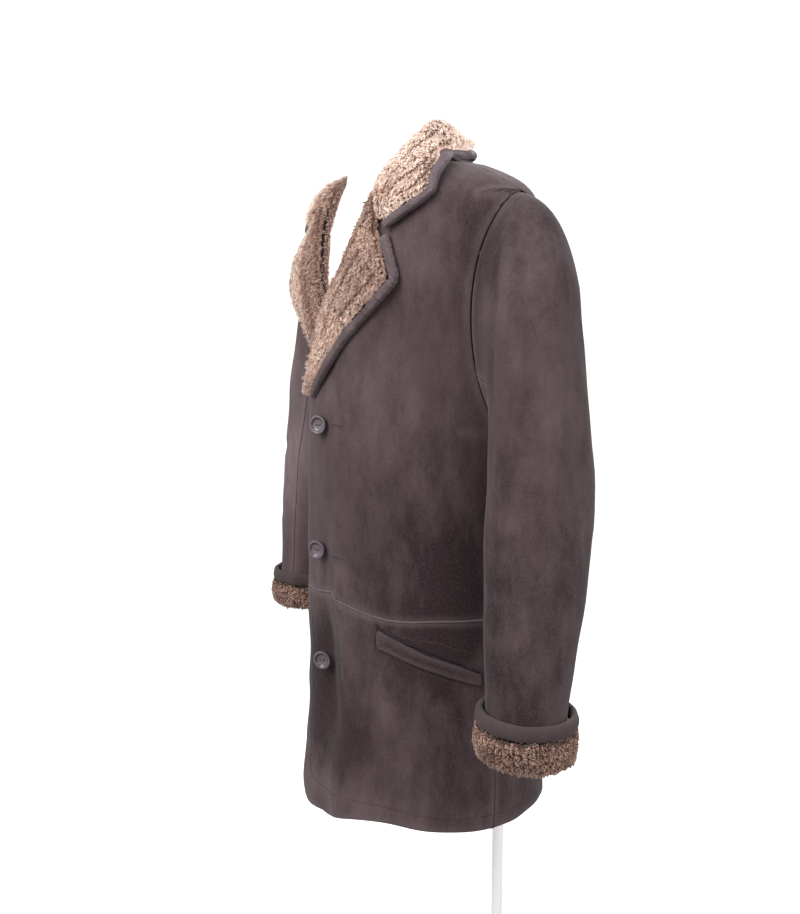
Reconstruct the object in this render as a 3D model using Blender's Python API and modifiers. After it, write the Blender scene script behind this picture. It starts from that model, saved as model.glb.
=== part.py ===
"""Three-button shearling coat on a limbless dress form.

Metres, +Z up. The coat's front faces -Y and the wearer's left is +X. The origin is the middle of
the stand's underside. Every panel is a wall of one body surface: a ring round the body at each
height, read from BODY, so that neighbouring panels meet along their seams.
"""

import math

import bmesh
import bpy
import numpy as np
from mathutils import Vector

# Driving sizes of the coat.
HEM_HEIGHT = 0.720
FRONT_CORNER_DROP = 0.026
WAIST_SEAM_HEIGHT = 0.988
BREAK_HEIGHT = 1.238
GORGE_HEIGHT = 1.512
NECK_HEIGHT = 1.552
SHOULDER_HEIGHTS = (1.512, 1.526, 1.540, NECK_HEIGHT)
NECK_OPENING_INSET = 0.006
FRONT_EXTENSION = 0.046
UNDER_EXTENSION = 0.030
CORNER_RADIUS = 0.022
CORNER_DROP_ANGLES = (4.0, 36.0)
LAP_FADE_X = (0.046, 0.090)
LAP_FADE_HEIGHT = (1.350, 1.420)
DOUBLE_FACE_THICKNESS = 0.006
SEAM_GAP = 0.0003
FRONT_SQUARENESS = 1.85
BACK_SQUARENESS = 2.1

# The body surface: a ring at each height, from the hem to the neck.
BODY_COLUMNS = ("height", "half_width", "front", "back")
BODY = (
    (0.680, 0.207, -0.176, 0.129),
    (0.720, 0.205, -0.175, 0.129),
    (0.800, 0.202, -0.168, 0.127),
    (0.900, 0.198, -0.161, 0.123),
    (0.990, 0.195, -0.160, 0.118),
    (1.100, 0.198, -0.161, 0.117),
    (1.200, 0.206, -0.157, 0.122),
    (1.300, 0.214, -0.152, 0.126),
    (1.380, 0.218, -0.144, 0.123),
    (1.440, 0.220, -0.133, 0.110),
    (1.480, 0.221, -0.124, 0.090),
    (1.500, 0.217, -0.118, 0.078),
    (1.514, 0.199, -0.113, 0.072),
    (1.526, 0.169, -0.108, 0.062),
    (1.539, 0.128, -0.102, 0.048),
    (1.552, 0.090, -0.096, 0.032),
    (1.566, 0.078, -0.092, 0.022),
)

# Soft folds of the skirt and the upper body: a ridge or a trough along a line on the surface.
FOLD_COLUMNS = ("top", "bottom", "angle_top", "angle_bottom", "spread", "rise")
FOLDS = (
    (1.020, 0.660, -66.0, -60.0, 9.0, 0.010),
    (1.010, 0.660, -90.0, -83.0, 8.0, -0.009),
    (0.990, 0.660, -124.0, -126.0, 16.0, -0.006),
    (0.930, 0.660, -30.0, -26.0, 13.0, 0.005),
    (0.930, 0.660, -156.0, -160.0, 11.0, 0.004),
    (0.960, 0.660, 58.0, 52.0, 12.0, 0.006),
    (0.960, 0.660, 122.0, 129.0, 12.0, 0.006),
    (1.400, 1.060, -62.0, -72.0, 7.0, 0.003),
    (1.400, 1.060, -118.0, -112.0, 7.0, 0.003),
)

# The right breast stands forward off the dress form, from beside the fold line towards the arm.
SWELL_RISE = 0.015
SWELL_HEIGHT = 1.410
SWELL_HEIGHT_SPREAD = 0.062
SWELL_ANGLE = -108.0
SWELL_SPREAD_FRONT = 12.0
SWELL_SPREAD_SIDE = 30.0
SWELL_FADE_ANGLES = (126.0, 144.0)

# The armhole, an oval seen from the side.
ARMHOLE_CENTRE_Y = -0.006
ARMHOLE_CENTRE_Z = 1.358
ARMHOLE_HALF_WIDTH = 0.056
ARMHOLE_HALF_HEIGHT = 0.142
ROUNDING = 1e-6

# The sleeve: each ring crosses it from an outer point to an inner point, with a half depth in Y.
SLEEVE_COLUMNS = ("outer_x", "outer_z", "inner_x", "inner_z", "middle_y", "half_depth")
SLEEVE = (
    (0.2440, 1.4910, 0.2270, 1.2130, -0.008, 0.061),
    (0.2680, 1.4670, 0.2310, 1.2080, -0.011, 0.064),
    (0.2900, 1.4280, 0.2330, 1.1980, -0.014, 0.064),
    (0.3090, 1.3720, 0.2345, 1.1840, -0.017, 0.062),
    (0.3240, 1.3100, 0.2355, 1.1660, -0.020, 0.062),
    (0.3360, 1.2400, 0.2370, 1.1400, -0.021, 0.065),
    (0.3440, 1.1700, 0.2390, 1.1060, -0.024, 0.068),
    (0.3490, 1.0980, 0.2430, 1.0580, -0.030, 0.064),
    (0.3525, 1.0300, 0.2480, 1.0020, -0.037, 0.057),
    (0.3550, 0.9660, 0.2530, 0.9500, -0.044, 0.050),
    (0.3565, 0.9120, 0.2570, 0.9080, -0.050, 0.045),
    (0.3570, 0.8760, 0.2580, 0.8760, -0.052, 0.045),
)
RIGHT_SLEEVE_RISE = 0.024
SLEEVE_AROUND = 24
UNDER_SLEEVE_FIRST = 8
UNDER_SLEEVE_LAST = 16

# The turned-back cuff, as offsets from the sleeve's end.
CUFF_DROP = 0.013
CUFF_FUR_TOP = 0.026
CUFF_FUR_STAND = 0.0140
CUFF_RIM_HEIGHT = 0.018
CUFF_RIM_STAND = 0.0125
CUFF_RIM_INNER = 0.0035
CUFF_CLEARANCE = 0.0008

# The lapel, seen from the front: its fold, and its outline from the break up to the gorge.
FOLD_LINE_COLUMNS = ("height", "x")
FOLD_LINE = (
    (1.236, -0.036),
    (1.310, -0.012),
    (1.386, 0.017),
    (1.429, 0.034),
    (1.452, 0.045),
    (1.474, 0.057),
    (1.512, 0.067),
)
LAPEL_BREAK = (-0.024, 1.238)
LAPEL_TIP_LOW = (0.1250, 1.394)
LAPEL_TIP_HIGH = (0.1250, 1.404)
LAPEL_NOTCH = (0.1010, 1.454)
LAPEL_TOP = 1.502
GORGE_GAP = 0.0010
LAPEL_BOTTOM_LEFT = 1.252
LAPEL_BOTTOM_RIGHT = 1.302
LAPEL_FUR_BOTTOM_RIGHT = 1.314
LAPEL_FLARE_RIGHT = 0.012
LAPEL_FLARE_REACH = 0.110
LAPEL_THICKNESS = 0.012
LAPEL_LIFT = 0.0012
LAPEL_SWELL = 0.003

# The collar, from the middle of the back (share 0) round to the gorge (share 1).
COLLAR_COLUMNS = ("share", "neck_height", "neck_angle", "edge_height", "edge_angle", "rise", "lean")
COLLAR = (
    (0.00, 1.557, 90.0, 1.5455, 90.0, 0.012, 0.002),
    (0.15, 1.557, 65.0, 1.5465, 65.0, 0.014, 0.002),
    (0.33, 1.557, 38.0, 1.5475, 38.0, 0.019, 0.000),
    (0.42, 1.557, 20.0, 1.5480, 20.0, 0.025, -0.002),
    (0.52, 1.557, 2.0, 1.5465, 2.0, 0.034, -0.004),
    (0.60, 1.555, -14.0, 1.5420, -10.0, 0.039, -0.005),
    (0.68, 1.550, -31.0, 1.5335, -21.0, 0.030, -0.004),
    (0.76, 1.543, -46.0, 1.5215, -33.0, 0.019, -0.002),
    (0.82, 1.536, -55.0, 1.5100, -39.5, 0.014, 0.000),
    (0.88, 1.529, -61.0, 1.4945, -41.5, 0.011, 0.000),
    (0.94, 1.520, -66.5, 1.4770, -51.5, 0.010, 0.000),
    (1.00, 1.512, -70.0, 1.4565, -61.8, 0.008, 0.000),
)
COLLAR_SECTIONS = 49
COLLAR_LIFT = 0.0035
COLLAR_FLARE_RIGHT = 0.006
COLLAR_FLARE_SHARES = (0.76, 0.92)
COLLAR_RISE_RIGHT = 0.30
COLLAR_EDGING_GAP = 0.0007
COLLAR_ROLL_THICKNESS = 0.010
COLLAR_FOOT_RISE = 0.004
COLLAR_FOOT_SET_IN = 0.15
COLLAR_FALL_SWELL = 0.002
NECK_MIDDLE_Y = 0.010

# The leather edging of the collar and the lapels.
EDGING_WIDTH = 0.013
EDGING_THICKNESS = 0.009

# The pocket welts, from the end near the front to the end near the side.
POCKET_FRONT = (-57.0, 0.953)
POCKET_SIDE = (-9.0, 0.914)
WELT_HEIGHT = 0.019
WELT_THICKNESS = 0.0025
WELT_LIFT = 0.0012

BUTTON_HEIGHTS = (1.216, 1.054, 0.905)
BUTTON_RADIUS = 0.0128
BUTTON_THICKNESS = 0.0045
BUTTON_RIM = 0.0026
BUTTON_LIFT = 0.0006
BUTTON_HOLE_RADIUS = 0.0013
BUTTON_HOLE_OFFSET = 0.0026

# The dress form, a torso that stops at the hips, with a capped neck.
FORM_COLUMNS = ("height", "half_width", "front", "back")
FORM = (
    (0.8500, 0.150, -0.100, 0.112),
    (0.8560, 0.158, -0.108, 0.116),
    (0.9000, 0.166, -0.115, 0.114),
    (0.9800, 0.162, -0.116, 0.104),
    (1.0800, 0.158, -0.116, 0.096),
    (1.1800, 0.167, -0.124, 0.098),
    (1.2800, 0.181, -0.132, 0.104),
    (1.3600, 0.190, -0.132, 0.104),
    (1.4200, 0.198, -0.123, 0.098),
    (1.4600, 0.203, -0.113, 0.084),
)
FORM_CLEARANCE = 0.0024
THROAT_COLUMNS = ("height", "bulge", "spread")
FORM_THROAT = (
    (1.5120, 0.004, 12.0),
    (1.5260, 0.015, 14.0),
    (1.5400, 0.024, 21.0),
    (1.5520, 0.036, 32.0),
)
FORM_NECK = (
    (1.5620, 0.064, -0.126, 0.022),
    (1.5750, 0.061, -0.130, 0.018),
    (1.6000, 0.060, -0.132, 0.012),
    (1.6150, 0.058, -0.130, 0.007),
    (1.6240, 0.048, -0.119, -0.004),
    (1.6280, 0.030, -0.096, -0.027),
)
FORM_AROUND = 32
POLE_RADIUS = 0.008
POLE_PLACE = (0.030, 0.100)
BASE_RADIUS = 0.190
BASE_THICKNESS = 0.008
BASE_EDGE = 0.002


class Table:
    """Rows of named columns, read between the rows without overshoot by their first column."""

    def __init__(self, columns, rows):
        self.columns = columns
        self.values = np.array(rows, float)
        self.at = self.values[:, 0]
        secants = np.diff(self.values, axis=0) / np.diff(self.at)[:, None]
        slopes = np.zeros_like(self.values)
        slopes[0] = secants[0]
        slopes[-1] = secants[-1]
        before = secants[:-1]
        after = secants[1:]
        same = before * after > 0
        total = np.where(same, before + after, 1.0)
        slopes[1:-1] = np.where(same, 2.0 * before * after / total, 0.0)
        self.slopes = slopes

    def row(self, where):
        where = min(max(where, self.at[0]), self.at[-1])
        i = min(int(np.searchsorted(self.at, where, side="right")) - 1, len(self.at) - 2)
        span = self.at[i + 1] - self.at[i]
        t = (where - self.at[i]) / span
        start = (1.0 + 2.0 * t) * (1.0 - t) ** 2
        end = t * t * (3.0 - 2.0 * t)
        lead = t * (1.0 - t) ** 2 * span
        lag = t * t * (t - 1.0) * span
        read = start * self.values[i] + end * self.values[i + 1]
        read = read + lead * self.slopes[i] + lag * self.slopes[i + 1]
        return dict(zip(self.columns, read))


body_table = Table(BODY_COLUMNS, BODY)
fold_line = Table(FOLD_LINE_COLUMNS, FOLD_LINE)
collar_table = Table(COLLAR_COLUMNS, COLLAR)


def smooth_step(low, high, value):
    t = min(max((value - low) / (high - low), 0.0), 1.0)
    return t * t * (3.0 - 2.0 * t)


def signed_power(value, power):
    return math.copysign(abs(value) ** power, value)


def oval_point(row, angle):
    """A point of a slightly squared ring, at an angle in degrees from +X towards +Y."""
    middle = (row["front"] + row["back"]) / 2
    half_depth = (row["back"] - row["front"]) / 2
    across = math.cos(math.radians(angle))
    along = math.sin(math.radians(angle))
    squareness = FRONT_SQUARENESS if along < 0.0 else BACK_SQUARENESS
    x = row["half_width"] * signed_power(across, 2.0 / squareness)
    y = middle + half_depth * signed_power(along, 2.0 / squareness)
    return x, y


def fold_rise(height, angle):
    """How far the folds push the surface out."""
    rise = 0.0
    for row in FOLDS:
        fold = dict(zip(FOLD_COLUMNS, row))
        share = (fold["top"] - height) / (fold["top"] - fold["bottom"])
        if share <= 0.0:
            continue
        middle = fold["angle_top"] + (fold["angle_bottom"] - fold["angle_top"]) * min(share, 1.0)
        away = (angle - middle) / fold["spread"]
        rise += fold["rise"] * smooth_step(0.0, 0.45, share) * math.exp(-away * away)
    return rise


def swell_rise(height, angle):
    """How far the right breast stands forward."""
    spread = SWELL_SPREAD_FRONT if angle > SWELL_ANGLE else SWELL_SPREAD_SIDE
    away = (angle - SWELL_ANGLE) / spread
    above = (height - SWELL_HEIGHT) / SWELL_HEIGHT_SPREAD
    rise = SWELL_RISE * math.exp(-away * away - above * above)
    return rise * (1.0 - smooth_step(*SWELL_FADE_ANGLES, abs(angle)))


def body_surface(height, angle, swollen=True):
    x, y = oval_point(body_table.row(height), angle)
    outwards = Vector((math.cos(math.radians(angle)), math.sin(math.radians(angle)), 0.0))
    wrapped = (angle + 180.0) % 360.0 - 180.0
    rise = fold_rise(height, wrapped)
    if swollen and wrapped < 0.0:
        rise += swell_rise(height, wrapped)
    return Vector((x, y, height)) + outwards * rise


def body_point(height, angle, lift=0.0, swollen=True):
    """A point at a distance out from the body surface."""
    step = 0.001
    turn = 0.6
    above = body_surface(height + step, angle, swollen)
    below = body_surface(height - step, angle, swollen)
    after = body_surface(height, angle + turn, swollen)
    before = body_surface(height, angle - turn, swollen)
    normal = (after - before).cross(above - below).normalized()
    return body_surface(height, angle, swollen) + normal * lift


def angle_at_x(height, x, rear=False):
    """The angle of the body surface's point at this x, on the front or on the back."""
    share = min(max(x / body_table.row(height)["half_width"], -1.0), 1.0)
    squareness = BACK_SQUARENESS if rear else FRONT_SQUARENESS
    angle = math.degrees(math.acos(signed_power(share, squareness / 2.0)))
    return angle if rear else -angle


def angle_at_y(height, y):
    row = body_table.row(height)
    middle = (row["front"] + row["back"]) / 2
    half_depth = (row["back"] - row["front"]) / 2
    share = min(max((y - middle) / half_depth, -1.0), 1.0)
    squareness = BACK_SQUARENESS if share > 0.0 else FRONT_SQUARENESS
    return math.degrees(math.asin(signed_power(share, squareness / 2.0)))


def new_material(name, colour, roughness, metallic=0.0):
    material = bpy.data.materials.new(name)
    material.use_nodes = True
    shader = material.node_tree.nodes["Principled BSDF"]
    shader.inputs["Base Color"].default_value = (*colour, 1.0)
    shader.inputs["Roughness"].default_value = roughness
    shader.inputs["Metallic"].default_value = metallic
    return material


def new_object(name, mesh, material):
    mesh.materials.append(material)
    mesh.shade_smooth()
    mesh.set_sharp_from_angle(angle=math.radians(50.0))
    made = bpy.data.objects.new(name, mesh)
    coat.objects.link(made)
    return made


def mesh_from(name, points, faces):
    mesh = bpy.data.meshes.new(name)
    mesh.from_pydata([tuple(point) for point in points], [], faces)
    mesh.update()
    return mesh


def face_out(mesh):
    shaped = bmesh.new()
    shaped.from_mesh(mesh)
    bmesh.ops.recalc_face_normals(shaped, faces=shaped.faces)
    if shaped.calc_volume(signed=True) < 0.0:
        bmesh.ops.reverse_faces(shaped, faces=shaped.faces)
    shaped.to_mesh(mesh)
    shaped.free()


def make_wall(name, outer, inner, material):
    """A closed wall between two grids of points, rows of equal length."""
    rows = len(outer)
    columns = len(outer[0])
    points = [point for row in outer for point in row]
    points += [point for row in inner for point in row]
    back = rows * columns

    def at(row, column):
        return row * columns + column

    faces = []
    for i in range(rows - 1):
        for j in range(columns - 1):
            quad = (at(i, j), at(i, j + 1), at(i + 1, j + 1), at(i + 1, j))
            faces.append(quad)
            faces.append(tuple(back + k for k in reversed(quad)))
    border = [at(0, j) for j in range(columns - 1)]
    border += [at(i, columns - 1) for i in range(rows - 1)]
    border += [at(rows - 1, j) for j in range(columns - 1, 0, -1)]
    border += [at(i, 0) for i in range(rows - 1, 0, -1)]
    for k, start in enumerate(border):
        end = border[(k + 1) % len(border)]
        if start < end:
            faces.append((end, start, back + end))
            faces.append((start, back + start, back + end))
        else:
            faces.append((end, start, back + start))
            faces.append((end, back + start, back + end))
    mesh = mesh_from(name, points, faces)
    face_out(mesh)
    return new_object(name, mesh, material)


def make_loft(name, sections, material, ring=False):
    """A closed solid through closed sections, joined end to end or capped."""
    count = len(sections)
    size = len(sections[0])
    points = [point for section in sections for point in section]
    faces = []
    for i in range(count if ring else count - 1):
        after = (i + 1) % count
        for j in range(size):
            k = (j + 1) % size
            faces.append((i * size + j, i * size + k, after * size + k, after * size + j))
    if not ring:
        faces.append(tuple(range(size)))
        faces.append(tuple((count - 1) * size + j for j in reversed(range(size))))
    mesh = mesh_from(name, points, faces)
    face_out(mesh)
    return new_object(name, mesh, material)


def steps(start, end, count):
    return [start + (end - start) * i / (count - 1) for i in range(count)]


# The panels' edges, each at a height.


def armhole_y(height, rear):
    """Where the armhole's edge is, or None above and below it."""
    share = (height - ARMHOLE_CENTRE_Z) / ARMHOLE_HALF_HEIGHT
    if abs(share) > 1.0 + ROUNDING:
        return None
    reach = ARMHOLE_HALF_WIDTH * math.sqrt(max(1.0 - share * share, 0.0))
    return ARMHOLE_CENTRE_Y + (reach if rear else -reach)


def side_angle(height, rear):
    """The angle of a left panel's edge at the side seam, the armhole or the shoulder seam."""
    y = armhole_y(height, rear)
    gap = SEAM_GAP if rear else -SEAM_GAP
    if y is None:
        row = body_table.row(height)
        return angle_at_y(height, (row["front"] + row["back"]) / 2 + gap / 2)
    return angle_at_y(height, y + gap)


def left_front_edge_x(height):
    if height <= BREAK_HEIGHT:
        return -FRONT_EXTENSION
    return max(fold_line.row(height)["x"], -FRONT_EXTENSION)


def right_front_edge_x(height):
    if height <= BREAK_HEIGHT:
        return UNDER_EXTENSION
    return min(-fold_line.row(height)["x"], UNDER_EXTENSION)


def front_edge_x(height, side):
    """The front panel's inner edge, up to the neck."""
    if height > GORGE_HEIGHT:
        share = (height - GORGE_HEIGHT) / (NECK_HEIGHT - GORGE_HEIGHT)
        start = fold_line.row(GORGE_HEIGHT)["x"]
        neck = body_table.row(NECK_HEIGHT)["half_width"] - NECK_OPENING_INSET
        return side * (start + (neck - start) * share)
    return left_front_edge_x(height) if side > 0 else right_front_edge_x(height)


def front_lift(x, height, side):
    """The wearer's left front rises over the right one where they lap."""
    if side < 0:
        return 0.0
    lapped = 1.0 - smooth_step(*LAP_FADE_X, x)
    closed = 1.0 - smooth_step(*LAP_FADE_HEIGHT, height)
    return (DOUBLE_FACE_THICKNESS + 2 * SEAM_GAP) * lapped * closed


def hem_height(angle, x, side):
    """The hem dips towards the front and is round at the front corner."""
    from_front = abs(abs(angle) - 90.0) if angle < 0.0 else 90.0
    dip = FRONT_CORNER_DROP * (1.0 - smooth_step(*CORNER_DROP_ANGLES, from_front))
    edge = -FRONT_EXTENSION if side > 0 else UNDER_EXTENSION
    inside = min((x - edge) * side, CORNER_RADIUS)
    round_off = CORNER_RADIUS - math.sqrt(max(CORNER_RADIUS**2 - (CORNER_RADIUS - inside) ** 2, 0.0))
    return HEM_HEIGHT - dip + (round_off if angle < 0.0 else 0.0)


def upper_heights():
    """Rows of the upper panels, close together at the top and the bottom of the armhole."""
    low = ARMHOLE_CENTRE_Z - ARMHOLE_HALF_HEIGHT
    rows = steps(WAIST_SEAM_HEIGHT + SEAM_GAP / 2, low, 6)[:-1]
    turns = [math.pi * (1.0 - 2.0 * k / SLEEVE_AROUND) for k in range(SLEEVE_AROUND // 2 + 1)]
    rows += [ARMHOLE_CENTRE_Z + ARMHOLE_HALF_HEIGHT * math.cos(turn) for turn in turns]
    return rows + list(SHOULDER_HEIGHTS)


def make_front(name, side, material):
    columns = 13
    outer = []
    inner = []
    for height in upper_heights():
        start = angle_at_x(height, front_edge_x(height, side))
        end = side_angle(height, rear=False)
        if side < 0:
            end = -180.0 - end
        row_outer = []
        row_inner = []
        for i in range(columns):
            share = i / (columns - 1)
            angle = start + (end - start) * share ** 1.25
            lift = front_lift(body_surface(height, angle).x, height, side)
            row_outer.append(body_point(height, angle, lift))
            row_inner.append(body_point(height, angle, lift - DOUBLE_FACE_THICKNESS))
        outer.append(row_outer)
        inner.append(row_inner)
    return make_wall(name, outer, inner, material)


def make_back(name, material):
    columns = 16
    outer = []
    inner = []
    for height in upper_heights():
        start = side_angle(height, rear=True)
        row_outer = []
        row_inner = []
        for angle in steps(start, 180.0 - start, columns):
            row_outer.append(body_point(height, angle))
            row_inner.append(body_point(height, angle, -DOUBLE_FACE_THICKNESS))
        outer.append(row_outer)
        inner.append(row_inner)
    return make_wall(name, outer, inner, material)


def make_skirt_front(name, side, material):
    rows = 8
    edge = -FRONT_EXTENSION if side > 0 else UNDER_EXTENSION
    top = WAIST_SEAM_HEIGHT - SEAM_GAP / 2
    shares = [0.0, 0.012, 0.035, 0.075] + steps(0.12, 1.0, 15)
    outer = []
    inner = []
    for share in shares:
        row_outer = []
        row_inner = []
        for level in steps(0.0, 1.0, rows):
            height = top
            for _ in range(3):
                start = angle_at_x(height, edge)
                end = side_angle(height, rear=False)
                if side < 0:
                    end = -180.0 - end
                angle = start + (end - start) * share
                bottom = hem_height(angle, body_surface(height, angle).x, side)
                height = bottom + (top - bottom) * level
            lift = front_lift(body_surface(height, angle).x, height, side)
            row_outer.append(body_point(height, angle, lift))
            row_inner.append(body_point(height, angle, lift - DOUBLE_FACE_THICKNESS))
        outer.append(row_outer)
        inner.append(row_inner)
    return make_wall(name, outer, inner, material)


def make_skirt_back(name, material):
    top = WAIST_SEAM_HEIGHT - SEAM_GAP / 2
    outer = []
    inner = []
    for share in steps(0.0, 1.0, 18):
        row_outer = []
        row_inner = []
        for level in steps(0.0, 1.0, 8):
            height = HEM_HEIGHT + (top - HEM_HEIGHT) * level
            start = side_angle(height, rear=True)
            angle = start + (180.0 - 2 * start) * share
            row_outer.append(body_point(height, angle))
            row_inner.append(body_point(height, angle, -DOUBLE_FACE_THICKNESS))
        outer.append(row_outer)
        inner.append(row_inner)
    return make_wall(name, outer, inner, material)


# The sleeves.


def armhole_point(turn, shrink, lift):
    """A point of the armhole's edge, at an angle from its top towards the back."""
    y = ARMHOLE_CENTRE_Y + (ARMHOLE_HALF_WIDTH - shrink) * math.sin(turn)
    z = ARMHOLE_CENTRE_Z + (ARMHOLE_HALF_HEIGHT - shrink) * math.cos(turn)
    return body_point(z, angle_at_y(z, y), lift)


def sleeve_rows(side):
    """The sleeve's rows; the right sleeve hangs a little higher."""
    rise = RIGHT_SLEEVE_RISE if side < 0 else 0.0
    rows = []
    for i, row in enumerate(SLEEVE):
        named = dict(zip(SLEEVE_COLUMNS, row))
        up = rise * smooth_step(2.0, len(SLEEVE) - 1.0, i)
        named["outer_z"] += up
        named["inner_z"] += up
        rows.append(named)
    return rows


def sleeve_rings(side):
    """Outer and inner grids of a sleeve on the left, ring by ring from the armhole down."""
    turns = [2.0 * math.pi * k / SLEEVE_AROUND for k in range(SLEEVE_AROUND)]
    rings = [[armhole_point(turn, 2 * SEAM_GAP, 0.0) for turn in turns]]
    for sleeve in sleeve_rows(side):
        outer_edge = Vector((sleeve["outer_x"], sleeve["middle_y"], sleeve["outer_z"]))
        inner_edge = Vector((sleeve["inner_x"], sleeve["middle_y"], sleeve["inner_z"]))
        middle = (outer_edge + inner_edge) / 2
        reach = (outer_edge - inner_edge) / 2
        depth = Vector((0.0, sleeve["half_depth"], 0.0))
        rings.append([middle + reach * math.cos(t) + depth * math.sin(t) for t in turns])
    inner = []
    for i, ring in enumerate(rings):
        inner_ring = []
        for j, point in enumerate(ring):
            if i == 0:
                inner_ring.append(armhole_point(turns[j], 2 * SEAM_GAP, -DOUBLE_FACE_THICKNESS))
                continue
            below = rings[min(i + 1, len(rings) - 1)][j]
            above = rings[i - 1][j]
            around = ring[(j + 1) % SLEEVE_AROUND] - ring[j - 1]
            normal = around.cross(above - below).normalized()
            inner_ring.append(point - normal * DOUBLE_FACE_THICKNESS)
        inner.append(inner_ring)
    return rings, inner


def mirrored(point, side):
    return Vector((point.x * side, point.y, point.z))


def make_sleeve(name, side, first, last, material):
    """One piece of the two-piece sleeve, between two of the points round it."""
    outer, inner = sleeve_rings(side)
    grids = []
    for rings in (outer, inner):
        grid = []
        for ring in rings:
            count = last - first
            points = [ring[(first + k) % SLEEVE_AROUND] for k in range(count + 1)]
            start = (points[1] - points[0]).normalized() * SEAM_GAP / 2
            end = (points[-2] - points[-1]).normalized() * SEAM_GAP / 2
            points[0] = points[0] + start
            points[-1] = points[-1] + end
            grid.append([mirrored(point, side) for point in points])
        grids.append(grid)
    return make_wall(name, grids[0], grids[1], material)


def wrist_point(turn, stand, rise, side):
    """A point near the sleeve's end, out from its outside and up from its edge."""
    *_, higher, end = sleeve_rows(side)
    share = max(rise, 0.0) / (higher["outer_z"] - end["outer_z"])
    half_width = (end["outer_x"] - end["inner_x"]) / 2
    middle_x = (end["outer_x"] + end["inner_x"]) / 2
    middle_x += ((higher["outer_x"] + higher["inner_x"]) / 2 - middle_x) * share
    middle_y = end["middle_y"] + (higher["middle_y"] - end["middle_y"]) * share
    half_depth = end["half_depth"] + (higher["half_depth"] - end["half_depth"]) * share
    x = middle_x + (half_width + stand) * math.cos(turn)
    y = middle_y + (half_depth + stand) * math.sin(turn)
    return Vector((x * side, y, end["outer_z"] + rise))


def make_cuff(side, word):
    wall = DOUBLE_FACE_THICKNESS
    clear = CUFF_CLEARANCE
    fur_section = (
        (clear, CUFF_FUR_TOP),
        (CUFF_FUR_STAND - 0.002, CUFF_FUR_TOP),
        (CUFF_FUR_STAND, CUFF_FUR_TOP - 0.006),
        (CUFF_FUR_STAND, -CUFF_DROP + 0.009),
        (CUFF_FUR_STAND - 0.006, -CUFF_DROP),
        (-wall + 0.003, -CUFF_DROP),
        (-wall, -CUFF_DROP + 0.005),
        (-wall, -SEAM_GAP * 2),
        (clear, -SEAM_GAP * 2),
    )
    low = CUFF_FUR_TOP + SEAM_GAP
    high = low + CUFF_RIM_HEIGHT
    rim_section = (
        (CUFF_RIM_INNER + 0.002, low),
        (CUFF_RIM_STAND - 0.002, low),
        (CUFF_RIM_STAND, low + 0.004),
        (CUFF_RIM_STAND, high - 0.005),
        (CUFF_RIM_STAND - 0.003, high),
        (CUFF_RIM_INNER + 0.002, high),
        (CUFF_RIM_INNER, high - 0.004),
        (CUFF_RIM_INNER, low + 0.003),
    )
    for name, section, material in (
        ("cuff_fur_" + word, fur_section, cuff_fur),
        ("cuff_rim_" + word, rim_section, edging),
    ):
        sections = []
        for k in range(SLEEVE_AROUND):
            turn = 2.0 * math.pi * k / SLEEVE_AROUND
            sections.append([wrist_point(turn, out, up, side) for out, up in section])
        make_loft(name, sections, material, ring=True)


# The lapels, the collar and their edging.


def line_x(start, end, height, inset):
    """The x of a sloping outline at a height, moved in from it by a distance square to it."""
    across = end[0] - start[0]
    rise = end[1] - start[1]
    on_line = start[0] + across * (height - start[1]) / rise
    return on_line - inset * math.hypot(across, rise) / abs(rise)


def lapel_free_edge(height, inset):
    """The lapel's free edge; the gorge above the notch is sewn and has no edging."""
    below_notch = min(
        line_x(LAPEL_BREAK, LAPEL_TIP_LOW, height, inset),
        LAPEL_TIP_LOW[0] - inset,
        line_x(LAPEL_TIP_HIGH, LAPEL_NOTCH, height, inset),
    )
    end = collar_table.row(1.0)
    across = (end["neck_height"] - height) / (end["neck_height"] - end["edge_height"])
    if across > 1.0:
        return below_notch
    return min(below_notch, body_surface(*collar_place(1.0, across)).x - GORGE_GAP)


def lapel_fold(height, side):
    """The lapel's folded edge; the right one stops where the left one lies over it."""
    fold = fold_line.row(height)["x"] - 0.004
    if side < 0:
        fold = max(fold, 0.008 - fold_line.row(height)["x"])
    return fold


def lapel_lift(x, height, side):
    """The left lapel lies flat; the right one stands off towards its free edge."""
    if side > 0:
        return front_lift(x, height, side) + LAPEL_LIFT
    away = -x - fold_line.row(height)["x"]
    spread = smooth_step(0.0, LAPEL_FLARE_REACH, away)
    spread *= smooth_step(LAPEL_BOTTOM_RIGHT, LAPEL_TIP_LOW[1], height)
    spread *= 1.0 - smooth_step(LAPEL_NOTCH[1] - 0.010, LAPEL_TOP, height)
    return LAPEL_LIFT + LAPEL_FLARE_RIGHT * spread


def make_lapel(name, side, material):
    columns = 8
    bottom = LAPEL_BOTTOM_LEFT if side > 0 else LAPEL_FUR_BOTTOM_RIGHT
    outer = []
    inner = []
    for height in steps(bottom, LAPEL_TOP, 16):
        fold = lapel_fold(height, side)
        edge = max(lapel_free_edge(height, EDGING_WIDTH + SEAM_GAP), fold + 0.002)
        row_outer = []
        row_inner = []
        for x in steps(fold, edge, columns):
            angle = angle_at_x(height, x * side)
            low = lapel_lift(x * side, height, side)
            swell = math.sin(math.pi * (x - fold) / (edge - fold)) * LAPEL_SWELL
            row_outer.append(body_point(height, angle, low + LAPEL_THICKNESS + swell))
            row_inner.append(body_point(height, angle, low))
        outer.append(row_outer)
        inner.append(row_inner)
    return make_wall(name, outer, inner, material)


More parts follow.
